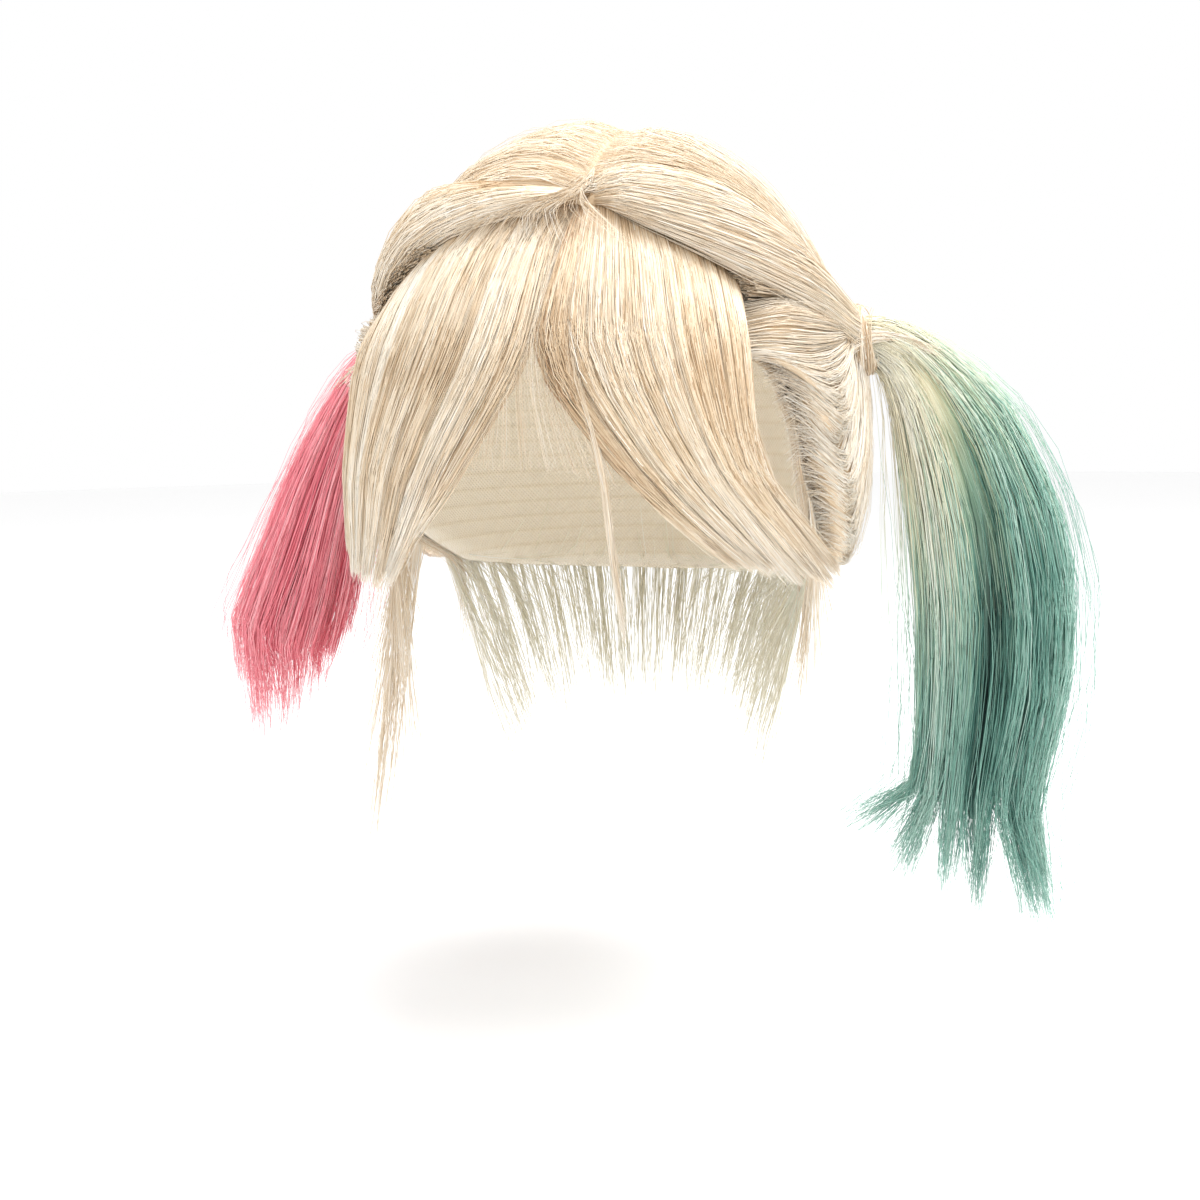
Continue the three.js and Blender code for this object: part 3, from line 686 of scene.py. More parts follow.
def section_points(section, side, across, share, extra):
    """Points of a section's hair on its outside, moved outwards by extra."""
    across, share = np.broadcast_arrays(across, share)
    place = lerp(section["from"], section["to"], across)
    root = along_line(outline(side), place.ravel()).reshape(*place.shape, 3)
    way = np.where(share > 0, np.maximum(share, 0) ** 1.15, share)
    towards = between(root, PIGTAIL, TIE_REACH * way)
    sag = SAG * smooth(place, *SAG_IN) * smooth(-place, *SAG_OUT)
    sag = sag * np.sin(np.pi * np.clip(share, 0, 1) ** 0.72) ** 1.2
    towards = unit(towards - sag[..., None] * [0, -0.25, 1])
    return round_neck(over_head(towards, section_lift(section, across, share, edge_share(root)) + extra))


# %% Section bodies
def section_body(base, side_name):
    section, side, node = SECTIONS[base], SIDE[side_name], f"{base}_{side_name}"
    rows, columns = 24, 46
    share, across = np.meshgrid(np.linspace(0, 1, rows), np.linspace(0, 1, columns), indexing="ij")
    outer = section_points(section, side, across, share, -SINK - ROOT_SINK * (1 - smooth(share, 0, 0.1)))
    towards = unit((outer + [0, 0, HEAD[2]]) / HEAD)
    inner = round_neck(over_head(towards, CAP_THICKNESS + 1.0))
    points = np.concatenate([outer.reshape(-1, 3), inner.reshape(-1, 3)])
    grid = np.arange(rows * columns).reshape(rows, columns)
    faces = quads(grid) + quads(grid + grid.size, flip=True)
    edge = np.concatenate([grid[0, :0:-1], grid[:-1, 0], grid[-1, :-1], grid[:0:-1, -1]]).tolist()
    for one, two in zip(edge, edge[1:] + edge[:1]):
        faces.append([two, one, one + grid.size, two + grid.size])
    wide = WIDEST * (section["to"] - section["from"]) * across
    comb = np.stack([wide.ravel(), LONGEST * share.ravel()], -1)
    # The body's tone is lower than its strands', a painted shade of the hair that lies deep under them.
    body(f"{node}_body", node, side, points, faces, np.concatenate([comb, comb]), 0.42)


for side_name in SIDE:
    for base in SECTIONS:
        section_body(base, side_name)
tell_made()

# %% Section strands
STATIONS = 8
LATE_STRANDS = 0.2  # the share that starts inside the section
LOOSE_STRANDS = 0.07  # the share that stands away from the rest
LOOSE_THICK = 0.16
print("each strand is drawn through", STATIONS, "stations")


def section_strands(base, side_name, seed):
    section, side, node = SECTIONS[base], SIDE[side_name], f"{base}_{side_name}"
    draw = np.random.default_rng(seed)
    count = section["strands"]
    across = draw.uniform(0.004, 0.996, count)
    locks = 3 * section["ridges"]
    middle = (np.floor(across * locks) + 0.5) / locks
    share = np.linspace(0, 1, STATIONS)[None] + draw.uniform(-0.05, 0.05, (count, STATIONS))
    share[:, 0], share[:, -1] = 0, 1
    pull = 0.5 * np.sin(np.pi * share) * draw.uniform(0, 1, (count, 1))
    drift = draw.normal(0, 0.014, (count, 1)) * share
    place = np.clip(lerp(across[:, None], middle[:, None], pull) + drift, 0, 1)
    root = lerp(section["from"], section["to"], across[:, None])
    early = edge_share(along_line(outline(side), root[:, 0]))[:, None] * smooth(root, *HAIRLINE_SHARES)
    start = draw.uniform(0, 0.03, (count, 1)) - early * draw.uniform(0.6, 1.2, (count, 1))
    start = start + (draw.random((count, 1)) < LATE_STRANDS) * draw.uniform(0, 0.5, (count, 1))
    share = lerp(start, 1, share)
    extra = draw.uniform(-0.7, 0.3, (count, 1)) * np.ones_like(share)
    extra[:, 0] -= np.where(start[:, 0] < 0.03, 0.2, 0.9)
    loose = draw.random((count, 1)) < LOOSE_STRANDS
    arc = np.sin(np.pi * np.clip(share, 0, 1)) * np.sin(np.pi * share * draw.uniform(1, 2, (count, 1)))
    extra = extra + loose * draw.uniform(0.5, 3.5, (count, 1)) * np.abs(arc)
    paths = section_points(section, side, place, share, extra)
    thick = np.where(loose, LOOSE_THICK, draw.uniform(*COMBED_THICK, (count, 1))) * np.ones_like(share)
    thick[:, 0] *= 0.5
    lock_tone = draw.normal(0, 0.05, locks)[(across * locks).astype(int)][:, None]
    tone = tones(draw, count, section["tone"], 0.14, lock_tone)
    strands(f"{node}_strands", node, side, paths, thick, tone, waver=section["waver"], waves=45)


for side_number, side_name in enumerate(SIDE):
    for number, base in enumerate(SECTIONS):
        section_strands(base, side_name, 10 * side_number + number)
tell_made()

# %% [markdown]
# ## The edges of the temple
# Two more bundles dress each temple. One starts under the roll at the fringe's end. The other
# runs down the hairline past the ear, over the cap's edge, and hangs free at its ends.

# %% Temple edges
TUCKED_STRANDS = 420
EDGE_STRANDS = 90
EDGE_POINTS = 11
TUCKED_ROOTS = (0.52, 1.0)  # shares of the fringe's line


def tuck_strands(node, side, draw):
    count = TUCKED_STRANDS
    share = np.linspace(-0.03, 1, STATIONS)[None]
    root = along_line(fringe_roots(side), draw.uniform(*TUCKED_ROOTS, count))[:, None]
    towards = between(root, PIGTAIL, TIE_REACH * share)
    depth = HAIR_DEPTH * draw.uniform(0.55, 0.9, (count, 1))
    root_depth = ROOT_DEPTH + draw.uniform(-1, 6, (count, 1))
    lift = CAP_THICKNESS + lerp(root_depth, depth, smooth(share, 0, 0.35))
    paths = round_neck(over_head(towards, lift))
    thick = draw.uniform(*COMBED_THICK, (count, 1))
    strands(f"{node}_tucked", node, side, paths, thick, tones(draw, count, 0.5, 0.12))


def edge_strands(node, side, draw):
    count = EDGE_STRANDS
    line = HAIRLINE[-1:-6:-1]
    past = draw.uniform(2.5, 7.5, (count, 1)) + draw.normal(0, 0.5, (count, len(line)))
    azimuth = line[:, 0] + draw.normal(0, 0.4, (count, len(line)))
    lift = CAP_THICKNESS + draw.uniform(0.2, 2.6, (count, 1)) * [0.4, 0.8, 1, 1, 1]
    stations = over_head(direction(azimuth, line[:, 1] + past), lift)
    step = [draw.normal(0, 2.5, (count, 1)), draw.normal(-4, 3, (count, 1))]
    step.append(draw.uniform(-48, -12, (count, 1)))
    stations = np.concatenate([stations, stations[:, -1:] + np.stack(step, -1)], 1)
    paths = sampled(stations, EDGE_POINTS, draw, 1 - draw.uniform(0, 0.45, (count, 1)) ** 1.3)
    tone = tones(draw, count, 0.66, 0.15)
    thick = draw.uniform(0.16, 0.34, (count, 1)) * np.linspace(1, 0.5, EDGE_POINTS)
    strands(f"{node}_edge", node, side, paths, thick, tone, waver=4, waves=30)


for side_number, (side_name, side) in enumerate(SIDE.items()):
    tuck_strands(f"temple_hair_{side_name}", side, np.random.default_rng(30 + side_number))
    edge_strands(f"temple_hair_{side_name}", side, np.random.default_rng(34 + side_number))
tell_made()

# %% [markdown]
# ## Lofted bodies and swept strands
# The rolls and pigtails are an oval that is carried along a curve. A course is such a curve's
# points with the oval's widths and depths. One function lofts a closed body from it, and another
# fills the same oval with strands. Each strand keeps its place in the oval, which makes a lock
# look combed, and a twist can turn it on its way.


# %% Courses
def frames(points, face):
    """For points along curves: the directions across and out of them."""
    along = unit(np.gradient(points, axis=-2))
    across = unit(np.cross(along, face))
    return across, np.cross(across, along)


FURROW_DEPTH = 0.62


def loft(name, node, side, course, face, comb_wide, tone, dye=0.0, slot=BLONDE_HAIR, ring=24, furrow=0.0):
    """A closed oval body along a course. A furrow from 0 to 1 is pressed into it, with painted shade in it.
    """
    middle, width, depth = course
    rows = len(middle)
    across, out = frames(middle, face)
    angle = np.linspace(0, 2 * np.pi, ring, endpoint=False)
    furrow, dye = (np.broadcast_to(values, (rows, ring)) for values in (furrow, dye))
    oval_x = np.cos(angle) * width[:, None] / 2
    oval_y = np.sin(angle) * depth[:, None] / 2 * (1 - FURROW_DEPTH * furrow)
    rings = middle[:, None] + across[:, None] * oval_x[..., None] + out[:, None] * oval_y[..., None]
    points = np.concatenate([rings.reshape(-1, 3), middle[:1], middle[-1:]])
    grid = np.arange(rows * ring).reshape(rows, ring)
    faces = quads(grid, round_columns=True)
    for i in range(ring):
        k = (i + 1) % ring
        faces.append([grid.size, k, i])
        faces.append([grid.size + 1, (rows - 1) * ring + i, (rows - 1) * ring + k])
    folded = np.abs(np.linspace(-1, 1, ring, endpoint=False))
    comb = np.stack(np.meshgrid(comb_wide * folded, LONGEST * np.linspace(0, 1, rows)), -1).reshape(-1, 2)
    comb = np.concatenate([comb, comb[:1], comb[-1:]])
    # Painted shade: the tone is darker in the furrow.
    tone = tone * (1 - np.append(furrow, [0, 0]))
    dye = np.append(dye, [dye[0, 0], dye[-1, -1]])
    body(name, node, side, points, faces, comb, tone, dye, slot)


def swept(course, face, turn, radius, twist):
    """Strands that keep a place (turn, radius) in the oval along a course."""
    middle, width, depth = course
    across, out = frames(middle, face)
    turn = turn[:, None] + 2 * np.pi * twist * np.linspace(0, 1, len(middle))[None]
    x = (radius * np.cos(turn) * width / 2)[..., None]
    y = (radius * np.sin(turn) * depth / 2)[..., None]
    return middle[None] + across[None] * x + out[None] * y


# %% [markdown]
# ## The front rolls
# From the front of the parting a roll of hair sweeps back over the fringe's roots on each side to
# the pigtail. It is a lofted body with strands wound a little round it. Where the two rolls meet,
# short strands come over their start from the crown and run out over the fringe.

# %% Rolls
ROLL_WIDTH = 30.0
ROLL_DEPTH = 13.0
ROLL_HEIGHT = 12.5
ROLL_START = 39.0  # degrees forwards of straight up, where both rolls leave the parting
ROLL_START_SIZE = (7.0, 5.0)
ROLL_STRANDS = 740
START_STRANDS = 80
ROLL_TWIST = 0.35
# painted shade: the roll's strands are darker along its edges near the parting, where creases fall in shadow
ROLL_PAINTED_SHADE = 0.45  # how much darker the roll's edges are near the parting
ROLL_ROWS = {
    "left": {
        "round": [0.03, 0.13, 0.26, 0.42, 0.57, 0.74, 0.89],
        "down": [-0.1, -0.07, 0.05, 0.22, 0.41, 0.62, 0.83],
        "height": [0.4, 0.64, 0.76, 0.84, 0.88, 0.92, 1.0],
        "width": [0.3, 0.62, 0.86, 1.0, 1.0, 0.85, 0.6],
    },
    "right": {
        "round": [0.06, 0.19, 0.34, 0.5, 0.65, 0.79, 0.92],
        "down": [-0.04, 0.03, 0.08, 0.13, 0.295, 0.55, 0.81],
        "height": [0.4, 0.66, 0.8, 0.88, 0.88, 0.92, 1.0],
        "width": [0.2, 0.36, 0.56, 0.8, 0.95, 0.85, 0.6],
    },
}
ROLL_DEPTHS = [0.45, 0.75, 0.95, 1.0, 1.0, 0.92, 0.75]
print("the rolls take", len(ROLL_DEPTHS), "stations over the head")


# %% Roll bodies and strands
def roll_course(side_name, points):
    rows = {name: np.array(column) for name, column in ROLL_ROWS[side_name].items()}
    start = fringe_roots(SIDE[side_name])[0]
    azimuth = lerp(np.degrees(np.arctan2(start[0], -start[1])), PIGTAIL_AZIMUTH, rows["round"])
    polar = lerp(PARTING_FRONT, PIGTAIL_POLAR, rows["down"])
    stations = over_head(direction(azimuth, polar), rows["height"] * ROLL_HEIGHT)
    parted = over_head(parting(-ROLL_START) * [SIDE[side_name], 1, 1], 6.0)
    stations = np.concatenate([parted[None], stations, on_axis(TIE_HEIGHT + 1.5)[None]])
    size = np.stack([rows["width"] * ROLL_WIDTH, np.array(ROLL_DEPTHS) * ROLL_DEPTH], -1)
    size = np.concatenate([[ROLL_START_SIZE], size, [[2 * NECK_RADIUS, 2 * NECK_RADIUS]]])
    shares = np.linspace(0, 1, points)
    size = through(size, shares)
    return through(stations, shares), size[:, 0], size[:, 1]


def roll_body(node, side_name):
    rows = 36
    middle, width, depth = roll_course(side_name, rows)
    taper = smooth(np.linspace(0, 1, rows), -0.02, 0.1)
    course = middle, 0.9 * taper * width, 0.84 * taper * depth
    # The body's tone is lower than its strands', a painted shade of the hair that lies deep under them.
    loft(f"{node}_body", node, SIDE[side_name], course, outward(middle), 34, 0.36)


def roll_strands(node, side_name, draw):
    count, rows, points, side = ROLL_STRANDS, 25, 11, SIDE[side_name]
    course = roll_course(side_name, rows)
    turn = draw.uniform(0, 2 * np.pi, count)
    radius = draw.uniform(0.9, 1.02, (count, 1)) * np.ones((1, rows))
    radius[draw.random(count) < 0.05] *= 1.1
    stations = swept(course, outward(course[0]), turn, radius, ROLL_TWIST * side)
    stations[:, 0] += draw.normal(0, 1.5, (count, 3)) * [1, 1, 0.5]
    paths = sampled(stations, points, draw)
    share = np.linspace(0, 1, points)[None]
    thick = draw.uniform(*COMBED_THICK, (count, 1)) * smooth(share, -0.15, 0.12)
    # Painted shade: darker strands along the roll's upper edge, and along its lower edge near its start,
    # where the creases lie in shadow.
    shade = smooth(-np.cos(turn), 0.3, 0.95)[:, None] * smooth(-share, -0.5, -0.2)
    shade = shade + smooth(np.cos(turn), 0.2, 0.9)[:, None] * smooth(-share, -0.25, -0.08)
    tone = tones(draw, count, 0.66, 0.14, -ROLL_PAINTED_SHADE * shade)
    strands(f"{node}_strands", node, side, paths, thick, tone)


def start_strands(node, side, draw):
    """Strands that come over the rolls' meeting, from the crown to the fringe."""
    count, points = START_STRANDS, 8
    azimuth = draw.uniform(-4, 30, count)
    back = parting(-draw.uniform(31, 37, count)) * [side, 1, 1]
    edge = parting(-draw.uniform(41, 44, count)) * [side, 1, 1]
    edge_lift = draw.uniform(9, 11.5, count)
    polar = draw.uniform(52, 57, count)
    stations = [
        over_head(back, 8.0),
        over_head(edge, edge_lift),
        over_head(direction(0.6 * azimuth, 48), 9.5 + draw.normal(0, 0.6, count)),
        over_head(direction(azimuth, polar), 7.0 + draw.normal(0, 0.6, count)),
    ]
    paths = sampled(np.stack(stations, 1), points, draw, 1 - draw.uniform(0, 0.4, (count, 1)))
    ease = np.sin(np.linspace(0.3, np.pi - 0.3, points)) ** 0.6
    thick = draw.uniform(0.14, 0.3, (count, 1)) * ease
    strands(f"{node}_start", node, side, paths, thick, tones(draw, count, 0.62, 0.16), waver=4, waves=50)


for side_number, (side_name, side) in enumerate(SIDE.items()):
    node = f"front_roll_{side_name}"
    draw = np.random.default_rng(40 + side_number)
    roll_body(node, side_name)
    roll_strands(node, side_name, draw)
    start_strands(node, side, draw)
tell_made()

# %% [markdown]
# ## The fringe
# The fringe grows from under the rolls, parts over the forehead and falls to each side like a
# curtain. Its strands are drawn between the rows of a short table: where the innermost and
# outermost locks cross the brow and the eyes, and where they end. Strands gather into locks
# towards their tips, which are cut blunt.

# %% Fringe
STAND_OFF = 14.0
BROW_DROP = 0.74
EYE_DROP = 1.04
BAND_LIFT = CAP_THICKNESS + CLEARANCE + 0.7 + 1.5
ROOT_STEP = np.array([0, 0.05, 0.04])  # the roots lie a little behind their line, under the rolls
INNER_THINNING = 0.8  # the fringe thins towards the middle of the brow
LOCK_CROWN = 1.5  # how far the middle of a lock stands out from its edges
FRINGE_POINTS = 12
# painted shade and light along each fringe strand: darker at the roots, which the rolls shade, and lighter
# towards the tips, which lie in shade
FRINGE_PAINTED_LIGHT = {"share": [0, 0.09, 0.2, 0.5, 0.8, 1], "tone": [-0.4, -0.12, 0.14, -0.01, 0.17, 0.28]}
FRINGE_ROWS = {
    "left": {
        "root": [0.0, 0.1, 0.28, 0.52, 0.77, 1.0],
        "brow": [5, 15, 26, 35.5, 44, 50],
        "eyes": [20, 27, 35, 41.5, 46.5, 50.5],
        "tip": [43, 50, 57.5, 65.5, 71.5, 76],
        "drop": [1.3, 1.37, 1.42, 1.45, 1.44, 1.39],
        "lift": [0.57, 0.64, 0.71, 0.86, 0.93, 1.0],
    },
    "right": {
        "root": [0.0, 0.1, 0.28, 0.52, 0.76, 0.98],
        "brow": [-4, 6, 18, 30, 42, 52],
        "eyes": [9, 18, 29, 39, 48, 56],
        "tip": [29, 36, 42, 48, 54, 60],
        "drop": [1.33, 1.41, 1.43, 1.42, 1.39, 1.36],
        "lift": [0.57, 0.64, 0.71, 0.86, 0.93, 1.0],
    },
    "wisp": {
        "root": [0.02, 0.06, 0.1],
        "brow": [12, 13, 14],
        "eyes": [18, 18.7, 19.4],
        "tip": [22, 22.8, 23.6],
        "drop": [1.5, 1.58, 1.5],
        "lift": [0.57, 0.57, 0.6],
    },
    "centre": {
        "root": [0.0, 0.02, 0.06, 0.1],
        "brow": [-3, 1, 6, 11],
        "eyes": [-8, 2, 11, 20],
        "tip": [-10, 2, 13, 23],
        "drop": [0.95, 1.0, 1.05, 1.15],
        "lift": [0.5, 0.5, 0.5, 0.55],
    },
}
print("the fringe has", len(FRINGE_ROWS), "bundles:", ", ".join(FRINGE_ROWS))


# %% Fringe strands
def fringe_stations(rows, line, place, gather, layer, cut):
    """Strands of the fringe at places from 0 to 1 across a table of rows."""

    def at(name, share):
        where = np.clip(lerp(place, gather, share), 0, 1)
        values = np.array(rows[name], float)
        return (weights(len(values), where) @ values)[:, None]

    root = over_head(unit(along_line(line, at("root", 0)[:, 0]) + ROOT_STEP), BAND_LIFT)
    root_azimuth = np.degrees(np.arctan2(root[:, :1], -root[:, 1:2]))
    root_drop = -root[:, 2:] / HEAD[2]
    lift = STAND_OFF * at("lift", 0.5) + layer
    tip_drop = at("drop", 0.9) + cut
    level = np.zeros_like(lift)
    near_root = lerp(root_azimuth, at("brow", 0.1), 0.6)
    stations = [  # azimuth, drop and lift, from the root to the tip
        (root_azimuth, root_drop, BAND_LIFT + 0.5 * layer),
        (near_root, lerp(root_drop, BROW_DROP, 0.4), lerp(BAND_LIFT, lift, 0.45)),
        (at("brow", 0.2), level + BROW_DROP, lerp(BAND_LIFT, lift, 0.85)),
        (at("eyes", 0.45), level + EYE_DROP, lift),
        (lerp(at("eyes", 0.7), at("tip", 0.7), 0.55), lerp(EYE_DROP, tip_drop, 0.62), lift),
        (at("tip", 1.0), tip_drop, lift),
    ]
    return hanging(*(np.concatenate(column, 1) for column in zip(*stations)))


def fringe_strands(table, node, side, count, locks, seed, tone=0.52, thick=0.4, short=0.25, thin=0.3):
    """One bundle of the fringe. The share thin of its strands ends early, by up to short."""
    points = FRINGE_POINTS
    draw = np.random.default_rng(seed)
    share = np.linspace(0, 1, points)[None]
    place = draw.uniform(0, 1, count) ** INNER_THINNING
    lock, middle, half = uneven_locks(draw, place, locks)
    gather = lerp(place, middle, draw.uniform(0.0, 0.75, count)) + draw.normal(0, 0.012, count)
    crown = LOCK_CROWN * np.sqrt(1 - ((place - middle) / half) ** 2)
    layer = crown - draw.exponential(0.7, count) + draw.normal(0, 0.4, locks)[lock]
    cut = draw.normal(0, 0.012, count) + draw.normal(0, 0.018, locks)[lock]
    rows, line = FRINGE_ROWS[table], fringe_roots(side)
    stations = fringe_stations(rows, line, place, gather, layer[:, None], cut[:, None])
    ends = 1 - (draw.random((count, 1)) < thin) * draw.uniform(0, short, (count, 1)) ** 1.2
    paths = sampled(stations, points, draw, ends)
    thick = draw.uniform(0.6, 1.15, (count, 1)) * thick * (1 - 0.75 * share**5)
    tone = tone + draw.normal(0, 0.13, count) + draw.normal(0, 0.08, locks)[lock]
    # Adds the painted shade at the roots and the painted light towards the tips.
    tone = np.clip(tone[:, None] + np.interp(share, FRINGE_PAINTED_LIGHT["share"], FRINGE_PAINTED_LIGHT["tone"]), 0, 1)
    strands(f"fringe_{table}_strands", node, side, paths, thick, tone, waver=2.2, waves=35)


fringe_strands("left", "fringe_left", 1, 1320, 11, 50, tone=0.4)
fringe_strands("right", "fringe_right", -1, 1320, 12, 51, tone=0.55)
fringe_strands("wisp", "fringe_left", 1, 70, 1, 52, thick=0.28)
fringe_strands("centre", "fringe_right", 1, 110, 16, 53, thick=0.2, short=0.7, thin=1.0)
tell_made()

# %% [markdown]
# ## The ties
# A band wound with hair gathers each pigtail. Its body is a flattened ring round the neck. Strands
# run round it, and more are wound over it at a slant.

# %% Ties
TIE_POINTS = 13
BAND_STRANDS = 110
WOUND_STRANDS = 70
BAND_TURN = 5.2  # how far round the neck a strand goes, in radians
WOUND_TURN = 3.6


def ring_points(angle, turn, radius, swell):
    """Points on the tie: angle round the neck, turn round the band's own section."""
    reach = radius + swell * (1 + np.cos(turn)) / 2
    height = TIE_HEIGHT + TIE_WIDTH / 2 * (1 + np.sin(turn))
    return on_axis(height) + reach[..., None] * spoke(angle)


def tie_body(node, side):
    rows, ring = 40, 12
    turns = [np.linspace(0, 2 * np.pi, count, endpoint=False) for count in (rows, ring)]
    angle, turn = np.meshgrid(*turns, indexing="ij")
    points = ring_points(angle, turn, NECK_OPENING, TIE_DEPTH).reshape(-1, 3)
    faces = quads(np.arange(rows * ring).reshape(rows, ring), round_rows=True, round_columns=True)
    comb = np.stack([3 * np.sin(turn).ravel(), 3 * np.sin(angle).ravel()], -1)
    # The body's tone is lower than its strands', a painted shade of the hair that lies deep under them.
    body(f"{node}_body", node, side, points, faces, comb, 0.3)


def tie_strands(node, side, draw):
    count = BAND_STRANDS
    angle = draw.uniform(0, 2 * np.pi, (count, 1)) + np.linspace(0, BAND_TURN, TIE_POINTS)
    turn = draw.uniform(-2.0, 2.0, (count, 1))
    turn = turn + draw.normal(0, 0.25, (count, 1)) * np.linspace(-1, 1, TIE_POINTS)
    paths = ring_points(angle, turn, NECK_OPENING + 0.1, TIE_DEPTH + draw.uniform(0, 0.5, (count, 1)))
    ease = np.sin(np.linspace(0.25, np.pi - 0.25, TIE_POINTS)) ** 0.5
    thick = draw.uniform(0.35, 0.6, (count, 1)) * ease
    tone = tones(draw, count, 0.5, 0.18)
    strands(f"{node}_strands", node, side, paths, thick, tone, waver=0.3)
    count = WOUND_STRANDS
    angle = draw.uniform(0, 2 * np.pi, (count, 1)) + np.linspace(0, WOUND_TURN, TIE_POINTS)
    low = TIE_HEIGHT + draw.uniform(-5.5, 1.5, (count, 1))
    height = low + draw.uniform(4.0, 9.5, (count, 1)) * np.linspace(0, 1, TIE_POINTS)
    bulge = np.exp(-(((height - TIE_HEIGHT - TIE_WIDTH / 2) / (0.75 * TIE_WIDTH)) ** 2))
    reach = NECK_RADIUS + 0.7 + (TIE_DEPTH + draw.uniform(0, 0.8, (count, 1))) * bulge
    paths = on_axis(height) + reach[..., None] * spoke(angle)
    strands(f"{node}_wound", node, side, paths, thick[:count], tone[:count], waver=0.6)


for side_number, (side_name, side) in enumerate(SIDE.items()):
    tie_body(f"hair_tie_{side_name}", side)
    tie_strands(f"hair_tie_{side_name}", side, np.random.default_rng(60 + side_number))
tell_made()

# %% [markdown]
# ## The pigtails
# Each pigtail leaves its tie, arches outwards and hangs. Its course is a short table of places
# and widths. A lofted body fills its middle, and strands fill the whole oval. The table says which
# part of the oval belongs to which lock, where each lock points and how long it hangs. The dye
# takes hold sooner on the outside. A last lock is wrapped over each tie, and strays hang free.

# %% Pigtails
PIGTAILS = {
    "left": {
        "reach": 42, "fall": 158, "lean": 4, "width": 57, "tips": 44,
        "out": [0.12, 0.38, 0.64, 0.86, 0.98, 0.95, 0.86],
        "drop": [0.02, 0.09, 0.21, 0.39, 0.6, 0.82, 1.0],
        "leans": [0, 0.1, 0.2, 0.5, 0.8, 1.0, 1.0],
        "wide": [0.31, 0.47, 0.73, 0.93, 1.0, 0.95, 0.83],
        "slot": "teal_hair", "dye_starts": (0.5, 0.29),
        "strands": 1650, "strays": 230, "clumps": 42, "groove": 1.0,
        "until": [-0.72, -0.42, -0.12, 0.3, 1.1],
        "points": [-2.3, -1.5, -0.6, 0.03, 1.2],
        "gather": [0.7, 0.65, 0.4, 0.8, 0.8],
        "lengths": [0.62, 0.93, 0.97, 1.05, 1.02],
        "ends": [1, 1, 1, 1, 1], "blur": 0.05,
    },
    "right": {
        "reach": 44, "fall": 110, "lean": -14, "width": 51, "tips": 36,
        "out": [0.12, 0.31, 0.55, 0.78, 0.97],
        "drop": [0.04, 0.18, 0.45, 0.78, 1.0],
        "leans": [0, 0.2, 0.5, 0.8, 1.0],
        "wide": [0.32, 0.46, 0.7, 0.92, 1.0],
        "slot": "pink_hair", "dye_starts": (0.06, -0.08),
        "strands": 1230, "strays": 150, "clumps": 34, "groove": 0.3,
        "until": [-0.75, -0.45, -0.1, 0.25, 0.7, 1.1],
        "points": [-0.9, -0.6, -0.25, 0.1, 0.5, 0.95],
        "gather": [0.4, 0.4, 0.4, 0.5, 0.6, 0.4],
        "lengths": [0.05, 0.15, 0.5, 0.95, 1.35, 0.8],
        "ends": [0.7, 0.84, 1, 1, 1, 1], "blur": 0.2,
    },
}
FLATNESS = 0.62  # a pigtail's depth, as a share of its width
IN_TIE = ([6.0, TIE_HEIGHT + TIE_WIDTH / 2], [15.5, 16.0])  # the first stations' heights and widths
BODY_FILL = 0.76  # the body's share of the pigtail's width
BACKWARDS = np.array([0.0, 1.0, 0.0])
GROOVE = {"u": 0.12, "width": 0.2, "from": 0.22, "to": 0.9}
PIGTAIL_POINTS = 13
WRAP_STRANDS = 60
for side_name, shape in PIGTAILS.items():
    print("the", side_name, "pigtail hangs", shape["fall"], "mm, and its tips", shape["tips"], "mm more")


# %% Pigtail courses
def pigtail_course(shape):
    """The stations of a pigtail's middle line and its widths, from inside the tie to its end."""
    start = on_axis(TIE_HEIGHT + TIE_WIDTH + 2)
    out, drop, lean, wide = (np.array(shape[name]) for name in ("out", "drop", "leans", "wide"))
    steps = np.stack([out * shape["reach"], lean * shape["lean"], -drop * shape["fall"]], -1)
    middle = np.concatenate([on_axis(IN_TIE[0]), start + steps])
    width = np.concatenate([IN_TIE[1], wide * shape["width"]])
    depth = np.concatenate([IN_TIE[1], wide * shape["width"] * FLATNESS])
    return middle, width, depth


def groove_of(shape, u, v, share):
    """How deep a place lies in the furrow down the front of the pigtail, from 0 to 1."""
    across = np.exp(-(((u - GROOVE["u"] + 0.12 * share) / GROOVE["width"]) ** 2))
    begin, end = GROOVE["from"], -GROOVE["to"]
    along = smooth(share, begin, begin + 0.25) * smooth(-share, end, end + 0.2)
    return shape["groove"] * across * along * smooth(-v, -0.2, 0.3)


def dye_of(shape, u, share, noise=0.0):
    """How far the dye has taken on a strand, which starts sooner on the outside of the arch."""
    inner, outer = shape["dye_starts"]
    start = lerp(inner, outer, smooth(u, -0.8, 0.7)) + noise
    return smooth(share, start - 0.1, start + 0.26)


